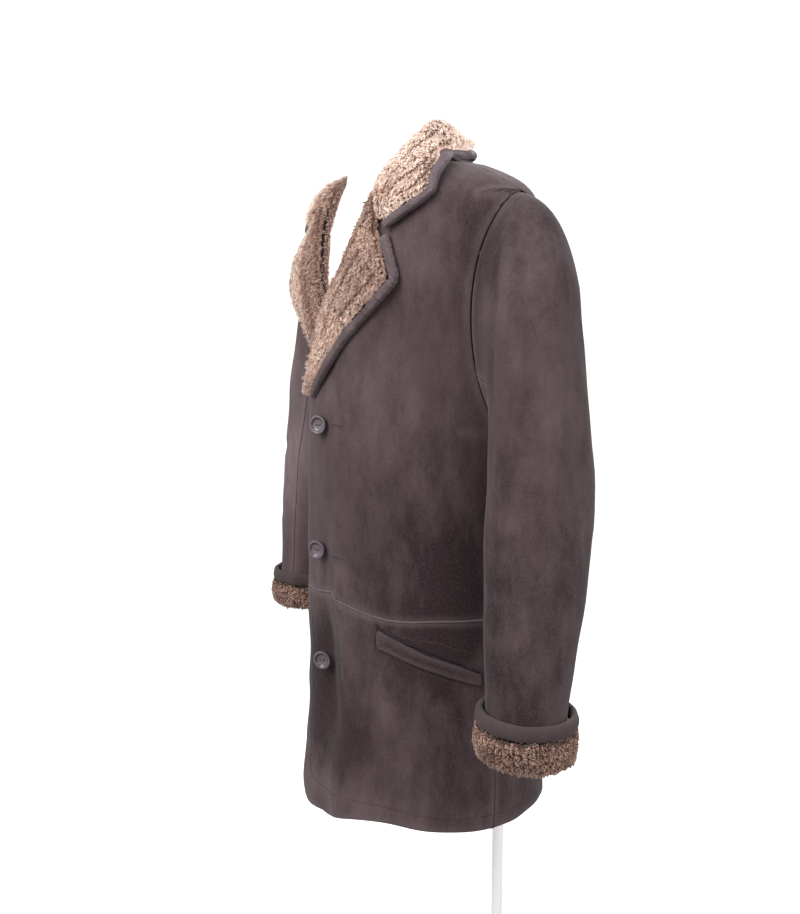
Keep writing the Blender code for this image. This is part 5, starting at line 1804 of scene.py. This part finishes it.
# A dark cord along the welt's top edge is painted shade of the pocket's opening; a thinner one down its
# front end is the end bar.
MOUTH_SHADE_RADIUS = 0.0015
MOUTH_END_RADIUS = 0.0007
MOUTH_STEP = 0.006
MOUTH_SHADE_LINE = (
    (0.1045, -0.139, 0.9725), (0.109, -0.138, 0.9690), (0.132, -0.123, 0.9600),
    (0.170, -0.088, 0.9445), (0.197, -0.042, 0.9250),
)
MOUTH_END = (
    (0.1045, -0.139, 0.9725), (0.1035, -0.140, 0.9630), (0.1035, -0.141, 0.9530),
    (0.1045, -0.142, 0.9430),
)
for side, sign in (("left", 1.0), ("right", -1.0)):
    node = f"pocket_welt_{side}"
    welt = smoothed_piece(node, node + "_fold", (nubuck,), rim_crease=0.15)
    points = points_of(welt.data)
    across = points[:, 0] * sign
    front_end = ramp(*POCKET_LIFT_X, across)
    upper = ramp(*POCKET_LIFT_Z, points[:, 2] - np.interp(across, POCKET_X, POCKET_TOP))
    points[:, 2] += POCKET_LIFT * front_end * upper
    set_points(welt.data, shape_body(points))
    # Painted light and shade, stored for the finish.
    paint_light_and_shade(welt, BODY_FOLDS)
    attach(welt, "root")
    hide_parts(node)
    hides[node] = welt
    lying_on = surface_tree([hides[f"skirt_{side}"], welt])
    for label, line, radius in (
        ("pocket_mouth", MOUTH_SHADE_LINE, MOUTH_SHADE_RADIUS),
        ("pocket_end", MOUTH_END, MOUTH_END_RADIUS),
    ):
        places, _ = dropped_row([(x * sign, y, z) for x, y, z in line], lying_on, MOUTH_STEP)
        new_cord(f"{label}_{side}", places, radius, tape_and_shade_finish)


# ---------------------------------------------------------------------------------------------
# Buttons: 26 mm, turned from dark horn with a raised rim and a dished middle with two holes,
# and sewn on with brown thread. A slit buttonhole with a stitched edge shows beside each.
# ---------------------------------------------------------------------------------------------
BUTTON_PROFILE = (
    # radius, height above the back
    (0.0000, 0.0022),
    (0.0040, 0.0023),
    (0.0066, 0.0027),
    (0.0080, 0.0034),
    (0.0087, 0.0043),
    (0.0094, 0.0049),
    (0.0106, 0.0052),
    (0.0118, 0.0049),
    (0.0126, 0.0038),
    (0.0128, 0.0026),
    (0.0122, 0.0010),
    (0.0108, 0.0000),
    (0.0000, 0.0000),
)
BUTTON_STEPS = 48
BUTTONS = (
    # number, tilt towards the open side, turn of its two holes, places along its buttonhole
    (1, 30.0, 7.0, ((0.025, -0.161, 1.219), (0.040, -0.159, 1.219), (0.051, -0.157, 1.218))),
    (2, 34.0, -12.0, ((0.031, -0.165, 1.049), (0.044, -0.163, 1.050), (0.056, -0.160, 1.050))),
    (3, 32.0, 4.0, ((0.042, -0.166, 0.924), (0.056, -0.165, 0.922), (0.064, -0.161, 0.919))),
)
# Painted shade on the horn: how much of it at each radius, and at the low outer edge.
GROOVE_RADII = (0.0066, 0.0080, 0.0087, 0.0094, 0.0106, 0.0118, 0.0126)
GROOVE_SHADE_SHARES = (0.0, 0.45, 0.75, 0.25, 0.0, 0.15, 0.85)
GROOVE_FLOOR = 0.002
EDGE_SHADE_SHARE = 0.9
EDGE_TOP = 0.0030
EDGE_RADIUS = 0.009
# Each hangs on a thread shank.
BUTTON_SHANK = 0.0034
BUTTON_IN = 0.006
BUTTON_HOLE = 0.0013
BUTTON_HOLE_PLACE = 0.0026
HOLE_PROFILE = ((0.0, -0.002), (BUTTON_HOLE, -0.002), (BUTTON_HOLE, 0.008), (0.0, 0.008))
HOLE_STEPS = 16
BUTTON_SHARP = math.radians(38.0)
THREAD_APART = 0.0005
THREAD_OVER = 0.0004
THREAD_HEIGHT = 0.0021
THREAD_SIDES = 5
THREAD_SWELL = ((0.0, 0.25), (0.12, 0.85), (0.5, 1.0), (0.88, 0.85), (1.0, 0.25))
THREAD_RADIUS = 0.00065
THREAD_ARCH = 0.9
THREAD_SUNK = 0.35
HORN_DARK = colour(84, 72, 78)
HORN_PALE = colour(158, 146, 154)
HORN_SHADE_DARK = colour(36, 29, 33)
THREAD_DARK = colour(74, 60, 62)
THREAD_PALE = colour(122, 106, 106)
SLIT_STEP = 0.0016
SLIT_HALF_WIDTH = 0.0010
SLIT_SIDES = 6
# The dark cord in a buttonhole's slit is painted shade of its opening; its lips are suede.
SLIT_CORDS = (
    # name, which side of the slit, radius, finish
    ("slit", 0.0, 0.0005, tape_and_shade_finish),
    ("lip_upper", 1.0, 0.0008, nubuck),
    ("lip_lower", -1.0, 0.0008, nubuck),
)


def place_of(node):
    """The middle of a flat round node, and the way its flat side faces."""
    points = points_of(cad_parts[node].data)
    middle = (points.min(axis=0) + points.max(axis=0)) / 2
    _, axes = np.linalg.eigh(np.cov((points - points.mean(axis=0)).T))
    facing = axes[:, 0]
    return middle, facing * (-1.0 if facing[1] > 0 else 1.0)


def turned_mesh(name, profile, count):
    """A round solid turned from a profile of radius and height."""
    made = bmesh.new()
    rings = []
    for radius, height in profile:
        if radius == 0.0:
            rings.append([made.verts.new((0.0, 0.0, height))])
            continue
        turns = [2.0 * math.pi * k / count for k in range(count)]
        places = [(radius * math.cos(turn), radius * math.sin(turn), height) for turn in turns]
        rings.append([made.verts.new(place) for place in places])
    for low, high in zip(rings, rings[1:]):
        for k in range(count):
            lower = [low[k % len(low)], low[(k + 1) % len(low)]]
            upper = [high[(k + 1) % len(high)], high[k % len(high)]]
            made.faces.new(list(dict.fromkeys(lower + upper)))
    bmesh.ops.recalc_face_normals(made, faces=made.faces)
    mesh = bpy.data.meshes.new(name)
    made.to_mesh(mesh)
    made.free()
    return mesh


horn, horn_tree, horn_shader = new_finish(
    "dark_horn", Roughness=0.30, Coat_Weight=0.7, Coat_Roughness=0.12
)
horn_streaks = noise(horn_tree, scale=240.0, detail=5.0, Distortion=1.2)
streak_mask = ranged(horn_tree, horn_streaks, 0.35, 0.7)
horn_colour = mixed(horn_tree, streak_mask, HORN_DARK, HORN_PALE)
# Painted shade darkens the groove inside the rim, and the low outer edge, where it stands for the
# horn's own dark rim as well; the rim's top keeps the horn's colour.
horn_shade_share = stored(horn_tree, "horn_shade")
shaded_horn = mixed(horn_tree, horn_shade_share, horn_colour, HORN_SHADE_DARK)
horn_tree.links.new(shaded_horn, horn_shader.inputs["Base Color"])
thread, thread_tree, thread_shader = new_finish("waxed_thread", Roughness=0.7)
twist = noise(thread_tree, scale=900.0)
thread_colour = mixed(thread_tree, twist, THREAD_DARK, THREAD_PALE)
thread_tree.links.new(thread_colour, thread_shader.inputs["Base Color"])


def thread_bars(name, ends, radius, finish):
    """Short stretches of thread from point to point, a little raised in their middles."""
    points = []
    faces = []
    for start, end, up in ends:
        way = end - start
        side = np.cross(way, up)
        side /= np.linalg.norm(side)
        first = len(points)
        for share, swell in THREAD_SWELL:
            middle = start + way * share + up * radius * (
                THREAD_ARCH * math.sin(math.pi * share) - THREAD_SUNK
            )
            for k in range(THREAD_SIDES):
                turn = 2.0 * math.pi * k / THREAD_SIDES
                points.append(middle + radius * swell * (side * math.cos(turn) + up * math.sin(turn)))
        last = len(points) - THREAD_SIDES
        for low in range(first, last, THREAD_SIDES):
            high = low + THREAD_SIDES
            for k in range(THREAD_SIDES):
                beyond = (k + 1) % THREAD_SIDES
                faces.append((low + k, low + beyond, high + beyond, high + k))
        faces.append(tuple(first + k for k in reversed(range(THREAD_SIDES))))
        faces.append(tuple(last + k for k in range(THREAD_SIDES)))
    mesh = bpy.data.meshes.new(name)
    mesh.from_pydata([tuple(point) for point in points], [], faces)
    mesh.shade_smooth()
    return new_piece(name, mesh, finish)


def drill(button):
    """Cuts a button's two thread holes."""
    for share in (-1.0, 1.0):
        hole = turned_mesh("hole", HOLE_PROFILE, HOLE_STEPS)
        hole.transform(Matrix.Translation((BUTTON_HOLE_PLACE * share, 0.0, 0.0)))
        cutter = bpy.data.objects.new(hole.name, hole)
        bpy.context.collection.objects.link(cutter)
        drilled = button.modifiers.new("drilled", "BOOLEAN")
        drilled.object = cutter
        drilled.solver = "EXACT"
        graph = bpy.context.evaluated_depsgraph_get()
        mesh = bpy.data.meshes.new_from_object(button.evaluated_get(graph))
        button.modifiers.clear()
        button.data = mesh
        bpy.data.objects.remove(cutter)


def paint_horn_shade(mesh):
    """Stores how much painted shade darkens the horn at each point: most in the groove, and low on the
    outer edge, where it is also the horn's own dark rim.
    """
    points = points_of(mesh)
    from_middle = np.linalg.norm(points[:, :2], axis=1)
    horn_shade = np.interp(from_middle, GROOVE_RADII, GROOVE_SHADE_SHARES) * (points[:, 2] > GROOVE_FLOOR)
    at_edge = (points[:, 2] < EDGE_TOP) & (from_middle > EDGE_RADIUS)
    store(mesh, "horn_shade", np.maximum(horn_shade, EDGE_SHADE_SHARE * at_edge))


for number, tilt, turn_of_holes, buttonhole in BUTTONS:
    node = f"button_{number}"
    name = f"{node}_turned"
    button = new_piece(name, turned_mesh(name, BUTTON_PROFILE, BUTTON_STEPS), horn)
    drill(button)
    paint_horn_shade(button.data)
    middle, facing = place_of(node)
    facing = np.array(Matrix.Rotation(math.radians(tilt), 3, "Z") @ Vector(facing))
    turn = Vector(facing).to_track_quat("Z", "Y").to_matrix().to_4x4()
    roll = Matrix.Rotation(math.radians(turn_of_holes), 4, "Z")
    back = Vector(middle) + Vector(facing) * BUTTON_SHANK + Vector((BUTTON_IN, 0.0, 0.0))
    button.data.transform(Matrix.Translation(back) @ turn @ roll)
    button.data.shade_smooth()
    button.data.set_sharp_from_angle(angle=BUTTON_SHARP)
    spin = (turn @ roll).to_3x3()
    bars = []
    for across in (-THREAD_APART, THREAD_APART):
        start = back + spin @ Vector((-BUTTON_HOLE_PLACE - THREAD_OVER, across, THREAD_HEIGHT))
        end = back + spin @ Vector((BUTTON_HOLE_PLACE + THREAD_OVER, across, THREAD_HEIGHT))
        bars.append((np.array(start), np.array(end), np.array(facing)))
    sewing = thread_bars(f"{node}_thread", bars, THREAD_RADIUS, thread)
    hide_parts(node)
    for piece in (button, sewing):
        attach(piece, "root")
    front = surface_tree([hides["front_left"], hides["skirt_left"]])
    slit, slit_ups = dropped_row(buttonhole, front, SLIT_STEP)
    beside = unit(np.cross(slit[-1] - slit[0], slit_ups))
    for label, shift, radius, finish in SLIT_CORDS:
        line = slit + beside * SLIT_HALF_WIDTH * shift
        new_cord(f"{node}_{label}", line, radius, finish, sides=SLIT_SIDES)


# ---------------------------------------------------------------------------------------------
# Rows of stitching: waxed thread in stitches 3 to 4 mm long, sunk a little in the suede. They
# run beside the armholes, along the hem and front edge, and in two rows under each pocket.
# ---------------------------------------------------------------------------------------------
STITCH_STEP = 0.0042
STITCH_SHARE = 0.62
STITCH_RADIUS = 0.00042
# The rows along the front edge and hem are a darker copy of the thread: painted shade of the groove
# they lie in.
SHADED_THREAD_DARK = colour(40, 31, 33)
SHADED_THREAD_PALE = colour(66, 54, 56)
shaded_thread, shaded_thread_tree, shaded_thread_shader = new_finish("shaded_thread", Roughness=0.9)
shaded_thread_twist = noise(shaded_thread_tree, scale=700.0)
shaded_thread_colour = mixed(shaded_thread_tree, shaded_thread_twist, SHADED_THREAD_DARK, SHADED_THREAD_PALE)
shaded_thread_tree.links.new(shaded_thread_colour, shaded_thread_shader.inputs["Base Color"])
SHADED_ROWS = ("front_edge_row_left", "hem_row_left")
STITCH_ROWS = {
    # name: (nodes it lies on, places along the row)
    "armhole_row_left": (
        ("front_left", "back"),
        (
            (0.2165, -0.020, 1.4875), (0.2150, -0.036, 1.4780), (0.2095, -0.048, 1.4640),
            (0.2020, -0.058, 1.4420), (0.1975, -0.063, 1.4110), (0.1960, -0.066, 1.3720),
            (0.1955, -0.067, 1.3250), (0.1960, -0.064, 1.2830), (0.1985, -0.058, 1.2560),
            (0.2010, -0.050, 1.2380),
        ),
    ),
    "welt_row_left": (
        ("skirt_left",),
        (
            (0.1080, -0.1390, 0.9475), (0.1390, -0.1140, 0.9275), (0.1740, -0.0800, 0.9135),
            (0.1980, -0.0380, 0.9000),
        ),
    ),
    "welt_row_upper_left": (
        ("pocket_welt_left",),
        (
            (0.1110, -0.1370, 0.9515), (0.1430, -0.1160, 0.9330), (0.1770, -0.0810, 0.9200),
            (0.1990, -0.0370, 0.9060),
        ),
    ),
    "pocket_mouth_row_left": (
        ("skirt_left",),
        (
            (0.1090, -0.1340, 0.9720), (0.1290, -0.1210, 0.9640), (0.1480, -0.1070, 0.9610),
            (0.1700, -0.0840, 0.9590), (0.1940, -0.0370, 0.9430),
        ),
    ),
    "front_edge_row_left": (
        ("skirt_left", "front_left"),
        (
            (-0.0345, -0.165, 0.990), (-0.0310, -0.165, 0.940), (-0.0270, -0.167, 0.870),
            (-0.0240, -0.172, 0.800), (-0.0190, -0.176, 0.752), (-0.0080, -0.177, 0.7330),
            (0.0200, -0.177, 0.7290), (0.0500, -0.174, 0.7330), (0.0760, -0.168, 0.7390),
        ),
    ),
    "hem_row_left": (
        ("skirt_left", "skirt_back"),
        (
            (0.0760, -0.168, 0.7390), (0.1100, -0.154, 0.7420), (0.1340, -0.133, 0.7400),
            (0.1610, -0.112, 0.7385), (0.1870, -0.085, 0.7380), (0.1990, -0.057, 0.7380),
            (0.2040, -0.022, 0.7370), (0.2020, 0.010, 0.7370), (0.1980, 0.030, 0.7370),
        ),
    ),
}


def sew_row(name, line, pieces, finish):
    """One row of stitches, lying on the given pieces."""
    surface = surface_tree(pieces)
    places, ups = dropped_row(line, surface, STITCH_STEP)
    bars = []
    for i in range(0, len(places) - 2, 2):
        way = places[i + 2] - places[i]
        start = places[i] + way * (1.0 - STITCH_SHARE) / 2
        end = places[i] + way * (1.0 + STITCH_SHARE) / 2
        bars.append((start, end, ups[i + 1]))
    row = thread_bars(name, bars, STITCH_RADIUS, finish)
    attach(row, "root")


def mirrored(line):
    """A line on the coat's other side."""
    return tuple((-x, y, z) for x, y, z in line)


for name, (nodes, line) in STITCH_ROWS.items():
    finish = shaded_thread if name in SHADED_ROWS else thread
    sew_row(name, line, [hides[node] for node in nodes], finish)
    if name.startswith("front_edge"):
        continue
    other = [hides[node.replace("left", "right")] for node in nodes]
    sew_row(name.replace("left", "right"), mirrored(line), other, finish)
